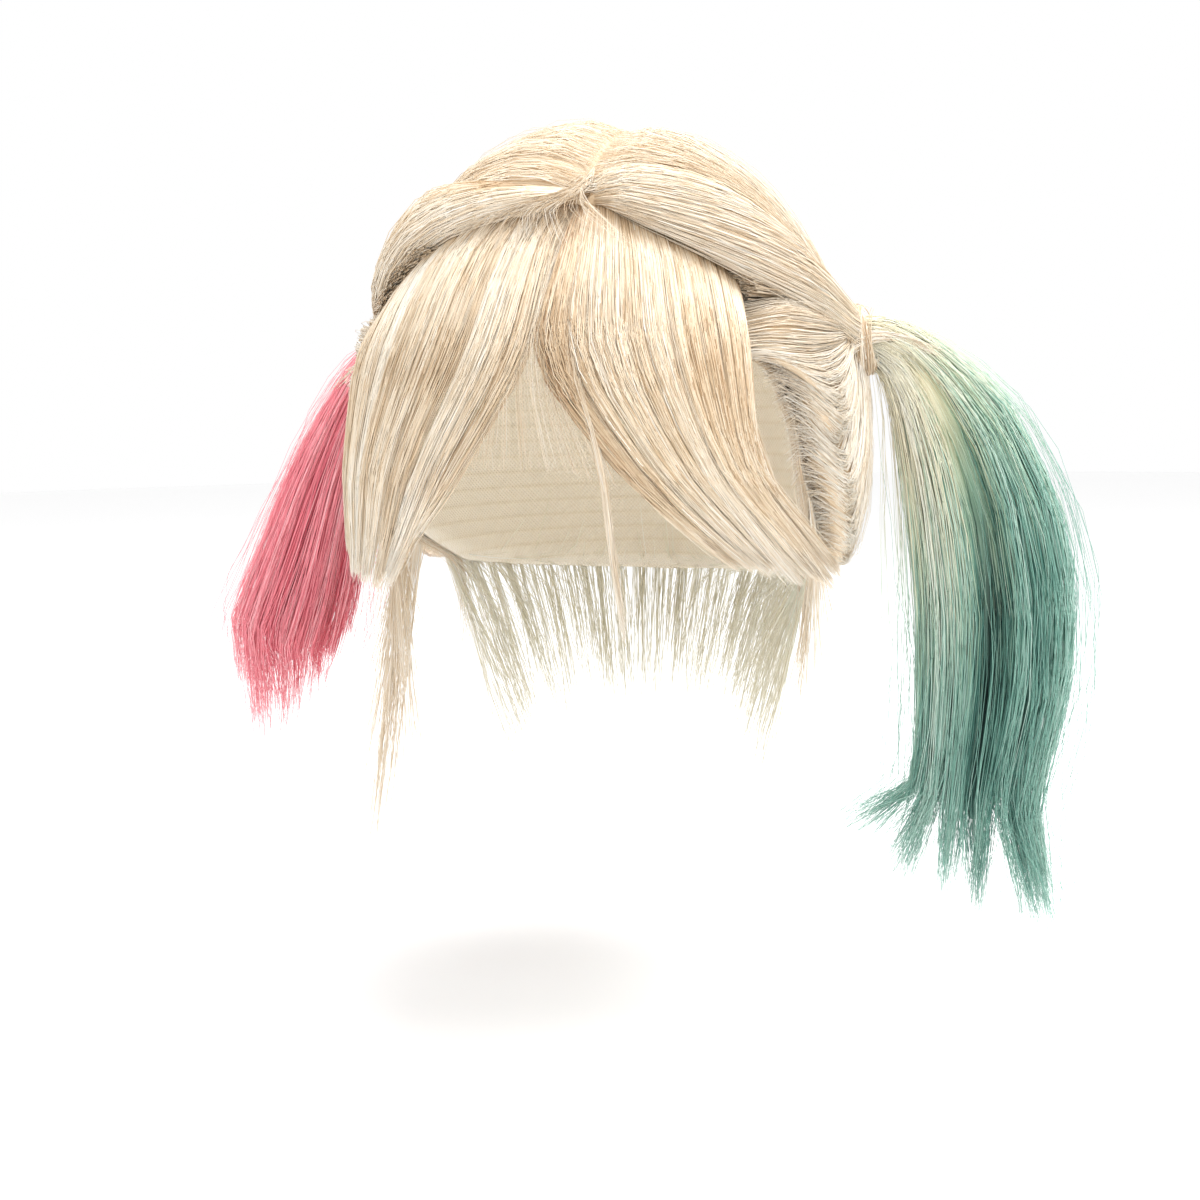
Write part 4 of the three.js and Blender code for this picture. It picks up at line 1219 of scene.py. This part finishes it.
def pigtail_paths(shape, u, v, draw):
    """Strands that keep a place (u, v) in the pigtail's oval, up to its locks' tips."""
    middle, width, depth = pigtail_course(shape)
    across, out = frames(middle, BACKWARDS)
    count, clumps = len(u), shape["clumps"]
    lock = np.searchsorted(shape["until"], u + draw.normal(0, shape["blur"], count))
    lock = lock.clip(0, len(shape["until"]) - 1)
    radius, angle = np.sqrt(draw.uniform(0.2, 1, clumps)), draw.uniform(0, 2 * np.pi, clumps)
    clump_u, clump_v = radius * np.cos(angle), radius * np.sin(angle)
    clump = np.argmin((u[:, None] - clump_u) ** 2 + (v[:, None] - clump_v) ** 2, 1)
    share = np.linspace(0, 1, len(middle))[None]
    gather = 0.5 * share * draw.uniform(0.3, 1, (count, 1))
    wide_u = lerp(u[:, None], clump_u[clump][:, None], gather)
    wide_v = lerp(v[:, None], clump_v[clump][:, None], gather)
    wide_v = wide_v * (1 - FURROW_DEPTH * groove_of(shape, wide_u, wide_v, share))
    path = middle[None] + across[None] * (wide_u * width / 2)[..., None]
    path = path + out[None] * (wide_v * depth / 2)[..., None]
    columns = (np.array(shape[name])[lock] for name in ("points", "gather", "lengths", "ends"))
    point, gather, length, last = columns
    tip_u = lerp(wide_u[:, -1], point, gather * draw.uniform(0.5, 1.2, count))
    tip_u = tip_u + draw.normal(0, 0.06, clumps)[clump]
    tip_v = wide_v[:, -1] * (1 - 0.5 * gather)
    length = length * shape["tips"] * (1 + draw.normal(0, 0.08, clumps)[clump])
    length = length * draw.uniform(0.62, 1.05, count)
    for part in (0.45, 1.0):
        tip = middle[-1] + across[-1] * (lerp(wide_u[:, -1], tip_u, part**1.3) * width[-1] / 2)[:, None]
        tip = tip + out[-1] * (lerp(wide_v[:, -1], tip_v, part) * depth[-1] / 2)[:, None]
        tip[:, 2] -= length * part
        path = np.concatenate([path, tip[:, None]], 1)
    ends = last[:, None] - (draw.random((count, 1)) < 0.3) * draw.uniform(0, 0.3, (count, 1))
    return sampled(path, PIGTAIL_POINTS, draw, ends), clump


# %% Pigtail bodies and strands
def pigtail_body(node, shape, side):
    rows, ring = 40, 28
    middle, width, depth = pigtail_course(shape)
    tip = middle[-1] - [0, 0, 0.3 * shape["tips"]]
    along = np.linspace(0, 1, rows)
    middle = through(np.concatenate([middle, tip[None]]), along)
    size = np.stack([np.append(width, 0.2 * width[-1]), np.append(depth, 0.2 * depth[-1])], -1)
    thinner = lerp(0.62, 1, smooth(along, 0.08, 0.42)) - 0.6 * smooth(along, 0.6, 1)
    size = through(size, along) * BODY_FILL * thinner[:, None]
    angle = np.linspace(0, 2 * np.pi, ring, endpoint=False)
    u, v = np.broadcast_to(np.cos(angle), (rows, ring)), np.broadcast_to(np.sin(angle), (rows, ring))
    share = 0.9 * along[:, None]
    course = middle, size[:, 0], size[:, 1]
    dye, furrow = dye_of(shape, u, share), groove_of(shape, u, v, share)
    # The body's tone is lower than its strands', a painted shade of the hair that lies deep under them.
    loft(f"{node}_body", node, side, course, BACKWARDS, 22, 0.2, dye, shape["slot"], ring, furrow)


def pigtail_strands(node, shape, side, draw):
    count, share = shape["strands"], np.linspace(0, 1, PIGTAIL_POINTS)[None]
    radius = np.sqrt(draw.uniform(0.3, 1.0, count))
    angle = draw.uniform(0, 2 * np.pi, count)
    u, v = radius * np.cos(angle), radius * np.sin(angle)
    paths, clump = pigtail_paths(shape, u, v, draw)
    u, v = u[:, None], v[:, None]
    thick = draw.uniform(0.26, 0.46, (count, 1)) * (1 - 0.8 * share**4)
    tone = draw.normal(0, 0.17, count) + draw.normal(0, 0.11, shape["clumps"])[clump]
    # Painted shade and light: inner strands are darker, as shade inside the pigtail, strands near the tie
    # are lighter against the shade under the arch, and strands in the front furrow are darker, as its shade.
    tone = tone + 0.55 * (radius - 0.85)
    tone = 0.62 + 0.2 * (1 - smooth(share, 0.05, 0.4)) + tone[:, None] - 0.4 * groove_of(shape, u, v, share)
    dye = dye_of(shape, u, share, draw.normal(0, 0.07, (count, 1)))
    tone = np.clip(tone, 0, 1)
    strands(f"{node}_strands", node, side, paths, thick, tone, dye, shape["slot"], waver=9, waves=16)


def wrap_strands(node, shape, side, draw):
    """A lock that crosses over the front of the tie and lies along the pigtail's top."""
    count, points = WRAP_STRANDS, 13
    middle, width, depth = pigtail_course(shape)
    across, out = frames(middle, BACKWARDS)
    spread = draw.uniform(-1, 1, (count, 1))
    start = hanging(74 + 2.5 * spread, 0.82 + 0.05 * spread + draw.normal(0, 0.01, (count, 1)), 14.5)
    angle = np.radians([-122, -96]) + 0.24 * spread
    height = np.array([5.5, 14.0]) + draw.normal(0, 0.5, (count, 2))
    reach = np.array([13.6, 14.0]) + draw.normal(0, 0.4, (count, 1)) - spread**2
    path = [start, on_axis(height) + reach[..., None] * spoke(angle)]
    for at, high, fore in [(2, 0.35, 1.0), (3, 0.8, 0.8)]:
        high = high + 0.15 * spread
        place = middle[at] + across[at] * high * width[at] / 2 - out[at] * fore * depth[at] / 2
        path.append(place[:, None])
    paths = sampled(np.concatenate(path, 1), points, draw, 1 - draw.uniform(0, 0.3, (count, 1)))
    thick = 0.36 * np.sin(np.linspace(0.1, np.pi - 0.1, points)) ** 0.4
    strands(f"{node}_wrap", node, side, paths, thick, tones(draw, count, 0.72, 0.12), waver=1)


def stray_strands(node, shape, side, draw):
    count, share = shape["strays"], np.linspace(0, 1, PIGTAIL_POINTS)[None]
    angle = draw.uniform(0, 2 * np.pi, count)
    u, v = 1.02 * np.cos(angle), 1.02 * np.sin(angle)
    paths, _ = pigtail_paths(shape, u, v, draw)
    swing = draw.uniform(1.5, 7, (count, 1)) * share + draw.uniform(0, 2 * np.pi, (count, 1))
    swing = (np.sin(swing) - np.sin(swing[:, :1])) * share
    paths = paths + swing[..., None] * np.clip(draw.normal(0, 8, (count, 1, 3)), -8, 8) * [1, 1, 0.5]
    dye, thick = dye_of(shape, u[:, None], share), np.full((count, 1), 0.16)
    strands(f"{node}_strays", node, side, paths, thick, 0.6, dye, shape["slot"], waver=16, waves=22)


for side_number, (side_name, side) in enumerate(SIDE.items()):
    shape, node = PIGTAILS[side_name], f"pigtail_{side_name}"
    draw = np.random.default_rng(70 + side_number)
    pigtail_body(node, shape, side)
    pigtail_strands(node, shape, side, draw)
    wrap_strands(f"hair_tie_{side_name}", shape, side, draw)
    stray_strands(node, shape, side, draw)
tell_made()

# %% [markdown]
# ## Loose hair at the nape and ears
# Below the hairline the hair hangs loose, so these pieces are strands alone. An even curtain goes
# round the nape, and a few wisps hang at each ear.

# %% Loose hair
NAPE_ROWS = {
    "azimuth": [97, 114, 129, 145, 162, 178],
    "tip": [110, 120, 134, 148, 164, 178],
    "drop": [2.5, 2.2, 2.32, 2.14, 2.26, 2.2],
    "pull": [-1, -0.75, -0.7, -0.7, -0.7, -0.7],
}
EAR_ROWS = {
    "left": {"azimuth": [78, 84], "tip": [88, 98], "drop": [1.85, 2.2], "pull": [0, -0.4]},
    "right": {
        "azimuth": [74, 79, 84, 88],
        "tip": [75, 78, 80, 82],
        "drop": [2.4, 2.6, 2.78, 2.5],
        "pull": [-0.3, 0.6, 1.0, 0.7],
    },
}
GREEN = {"left": 0.8, "right": 0.0}  # how far the teal has stained the nape's first strands
GREEN_UNTIL = 108  # degrees round from the face
NAPE_STRANDS = 545
WISP_STRANDS = 46
LOOSE_CLUMPS = 26
LOOSE_PULL = 20.0
LOWEST = 2.8
STRAND_DEPTH = 3.0
print(NAPE_STRANDS, "strands at each side of the nape")


# %% Loose strands
def loose_paths(rows, root, cut, draw, points):
    """Strands that hang from the hairline, each from its own azimuth."""
    column = {name: np.interp(root, rows["azimuth"], values)[:, None] for name, values in rows.items()}
    count, share = len(root), np.linspace(0, 1, points)[None]
    azimuth = lerp(root[:, None], column["tip"] + draw.normal(0, 1.5, (count, 1)), share)
    polar = np.interp(root, HAIRLINE[::-1, 0], HAIRLINE[::-1, 1])[:, None] + 0.6 * CAP_MARGIN
    lift = CAP_THICKNESS + CLEARANCE + 0.4 * STRAND_DEPTH + draw.normal(0, 0.8, (count, 1)) * share
    points = over_head(direction(azimuth, polar), lift)
    root_drop = -points[:, :1, 2] / HEAD[2]
    pull = column["pull"] * LOOSE_PULL * share + draw.normal(0, 2.5, (count, 1)) * share**1.5
    points = points + direction(root[:, None], 90.0) * pull[..., None]
    points[..., 2] = -HEAD[2] * lerp(root_drop, np.minimum(column["drop"] * cut[:, None], LOWEST), share)
    return points


def loose_strands(node, slot, rows, root, seed, side, thick, green=0.0):
    draw = np.random.default_rng(seed)
    count, points, clumps = len(root), 10, LOOSE_CLUMPS
    middles = draw.uniform(root.min(), root.max(), clumps)
    clump = np.argmin(np.abs(root[:, None] - middles), 1)
    cut = 1 - np.abs(draw.normal(0, 0.06, clumps))[clump] - np.abs(draw.normal(0, 0.05, count))
    cut = cut - (draw.random(count) < 0.35) * draw.uniform(0, 0.3, count)
    cut = cut + (draw.random(count) < 0.04) * draw.uniform(0.05, 0.2, count)
    root = lerp(root, middles[clump], draw.uniform(0, 0.6, count))
    paths = loose_paths(rows, root, cut, draw, points)
    share = np.linspace(0, 1, points)[None]
    thick = draw.uniform(0.7, 1.2, (count, 1)) * thick * (1 - 0.7 * share**4)
    tone = tones(draw, count, 0.62, 0.15)
    stained = smooth(draw.random((count, 1)), 0.3, 0.9) * (root[:, None] < GREEN_UNTIL)
    dye = green * stained * smooth(-share, -0.6, -0.05)
    strands(f"{node}_strands", node, side, paths, thick, tone, dye, slot, waver=9, waves=18)


for side_number, (side_name, side) in enumerate(SIDE.items()):
    draw = np.random.default_rng(80 + side_number)
    root = draw.uniform(95, 180, NAPE_STRANDS)
    node, green = f"nape_hair_{side_name}", GREEN[side_name]
    loose_strands(node, "nape_hair", NAPE_ROWS, root, 82 + side_number, side, 0.32, green)
    rows, node = EAR_ROWS[side_name], f"ear_wisps_{side_name}"
    root = np.concatenate([draw.normal(azimuth, 1.3, WISP_STRANDS) for azimuth in rows["azimuth"]])
    loose_strands(node, BLONDE_HAIR, rows, root, 90 + side_number, side, 0.3)
tell_made()

# %% [markdown]
# ## The cap
# The hair is sewn to a thin stretch cap, which shows from below because nothing is in it. It is a
# closed dome whose edge follows the hairline. Its material is a knitted net with the rows of
# stitches, the wefts, to which the hair is sewn.

# %% Cap material
CAP_TINTS = [(0.0, colour("D8C7A8")), (0.5, colour("F3E8D4")), (1.0, colour("FCF7EC"))]
THREADS = 3.6  # the net's threads, in radians to a unit of the comb lines
WEFTS = 0.5
CAP_BUMP = {"Strength": 0.35, "Distance": 0.0006}


def cap_material():
    material, graph = painted("cap_net")
    place = graph.add("ShaderNodeUVMap", {"uv_map": "comb"}).outputs[0]
    split = graph.add("ShaderNodeSeparateXYZ", None, {0: place}).outputs
    across, down = Value(graph, split[0]), Value(graph, split[1])
    threads = graph.maths("SINE", across * THREADS) * graph.maths("SINE", down * THREADS)
    weft = graph.maths("SINE", down * WEFTS)
    weft = (weft * weft) ** 6.0
    mottle = graph.value("ShaderNodeTexNoise", None, {"Vector": place, "Scale": 0.35, "Detail": 3.0})
    shade = 0.62 + 0.16 * threads + 0.3 * (mottle - 0.5) - 0.16 * weft
    bump = graph.add("ShaderNodeBump", None, {**CAP_BUMP, "Height": threads + 1.5 * weft}).outputs[0]
    rough = 0.75 + 0.2 * (mottle - 0.5)
    graph.surface({"Base Color": graph.ramp(CAP_TINTS, shade), "Roughness": rough, "Normal": bump})
    return material


# %% Cap
CAP_FRONT = [(0, 50), (24, 53), (40, 58), (52, 64), (58, 72)]
CAP_COMB = (1.5, 1.7)  # the comb lines' units to a degree, round and down the cap
edge = np.array(CAP_FRONT + [(azimuth, polar + CAP_MARGIN) for azimuth, polar in HAIRLINE[::-1]], float)
rows, ring = 25, 120
around = np.linspace(0, 360, ring, endpoint=False)
edge_polar = np.interp(np.minimum(around, 360 - around), edge[:, 0], edge[:, 1])
polar = edge_polar[None] * np.linspace(0, 1, rows + 1)[1:, None]
domes = [over_head(direction(around[None], polar), lift).reshape(-1, 3) for lift in (CAP_THICKNESS, 0.0)]
points = np.concatenate([*domes, [[0, 0, CAP_THICKNESS], [0, 0, 0]]])
grid = np.arange(rows * ring).reshape(rows, ring)
faces = []
for top, dome in [(2 * grid.size, grid), (2 * grid.size + 1, grid + grid.size)]:
    faces += quads(dome, round_columns=True)
    first = dome[0].tolist()
    faces += [[top, after, here] for here, after in zip(first, first[1:] + first[:1])]
faces += quads(np.stack([grid[-1], grid[-1] + grid.size]), round_columns=True)
comb = np.stack(np.broadcast_arrays(around[None] * CAP_COMB[0], polar * CAP_COMB[1]), -1).reshape(-1, 2)
comb = np.concatenate([comb, comb, [[0, 0], [0, 0]]])
looks["cap_net", True] = cap_material()
body("cap_shell", "cap", 1, points, faces, comb, 0.5, slot="cap_net")
tell_made()

# %% [markdown]
# ## Floor and light
# The wig floats over a pale table, because it keeps the shape in which it is worn. Two large soft
# lamps and a bright room give the photograph's high key.

# %% Stage
FLOOR = -0.3
FLOOR_RADIUS = 4
FLOOR_SIDES = 64
floor_mesh = bpy.data.meshes.new("floor")
angles = np.linspace(0, 2 * math.pi, FLOOR_SIDES, endpoint=False)
corners = [(FLOOR_RADIUS * math.cos(angle), FLOOR_RADIUS * math.sin(angle), FLOOR) for angle in angles]
floor_mesh.from_pydata(corners, [], [list(range(FLOOR_SIDES))])
floor = bpy.data.objects.new("floor", floor_mesh)
bpy.context.collection.objects.link(floor)
material, graph = painted("floor")
place = graph.add("ShaderNodeTexCoord").outputs["Object"]
speckle = graph.value("ShaderNodeTexNoise", None, {"Vector": place, "Scale": 6.0})
graph.surface({"Base Color": (0.96, 0.96, 0.96, 1), "Roughness": 0.6 + 0.1 * speckle})
floor_mesh.materials.append(material)
floor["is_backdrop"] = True


# %% Light
def lamp(name, place, aim, size, power):
    data = bpy.data.lights.new(name, "AREA")
    data.size = size
    data.energy = power
    light = bpy.data.objects.new(name, data)
    light.location = place
    light.rotation_euler = (Vector(place) - Vector(aim)).to_track_quat("Z", "Y").to_euler()
    bpy.context.collection.objects.link(light)


lamp("top_light", (0.25, 0.1, 0.9), (0, 0, -0.1), 0.9, 17.0)
lamp("front_light", (0.5, -1.1, 0.5), (0, 0, -0.12), 0.8, 2.5)
world = bpy.data.worlds.new("room")
world.use_nodes = True
graph = Graph(world.node_tree)
room = graph.add("ShaderNodeBackground", None, {"Color": (1, 1, 1, 1), "Strength": 1.0})
graph.add("ShaderNodeOutputWorld", None, {0: room.outputs[0]})
bpy.context.scene.world = world
bpy.context.scene.view_settings.view_transform = "Standard"

# %% Size
low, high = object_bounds()
for axis, name in enumerate("XYZ"):
    below, above = cad_low[axis] - low[axis], high[axis] - cad_high[axis]
    print(name, "grows by", round(1000 * below, 1), "and", round(1000 * above, 1), "mm")
print(len(made), "pieces with", sum(made.values()), "triangles, at most", max(made.values()), "in one")
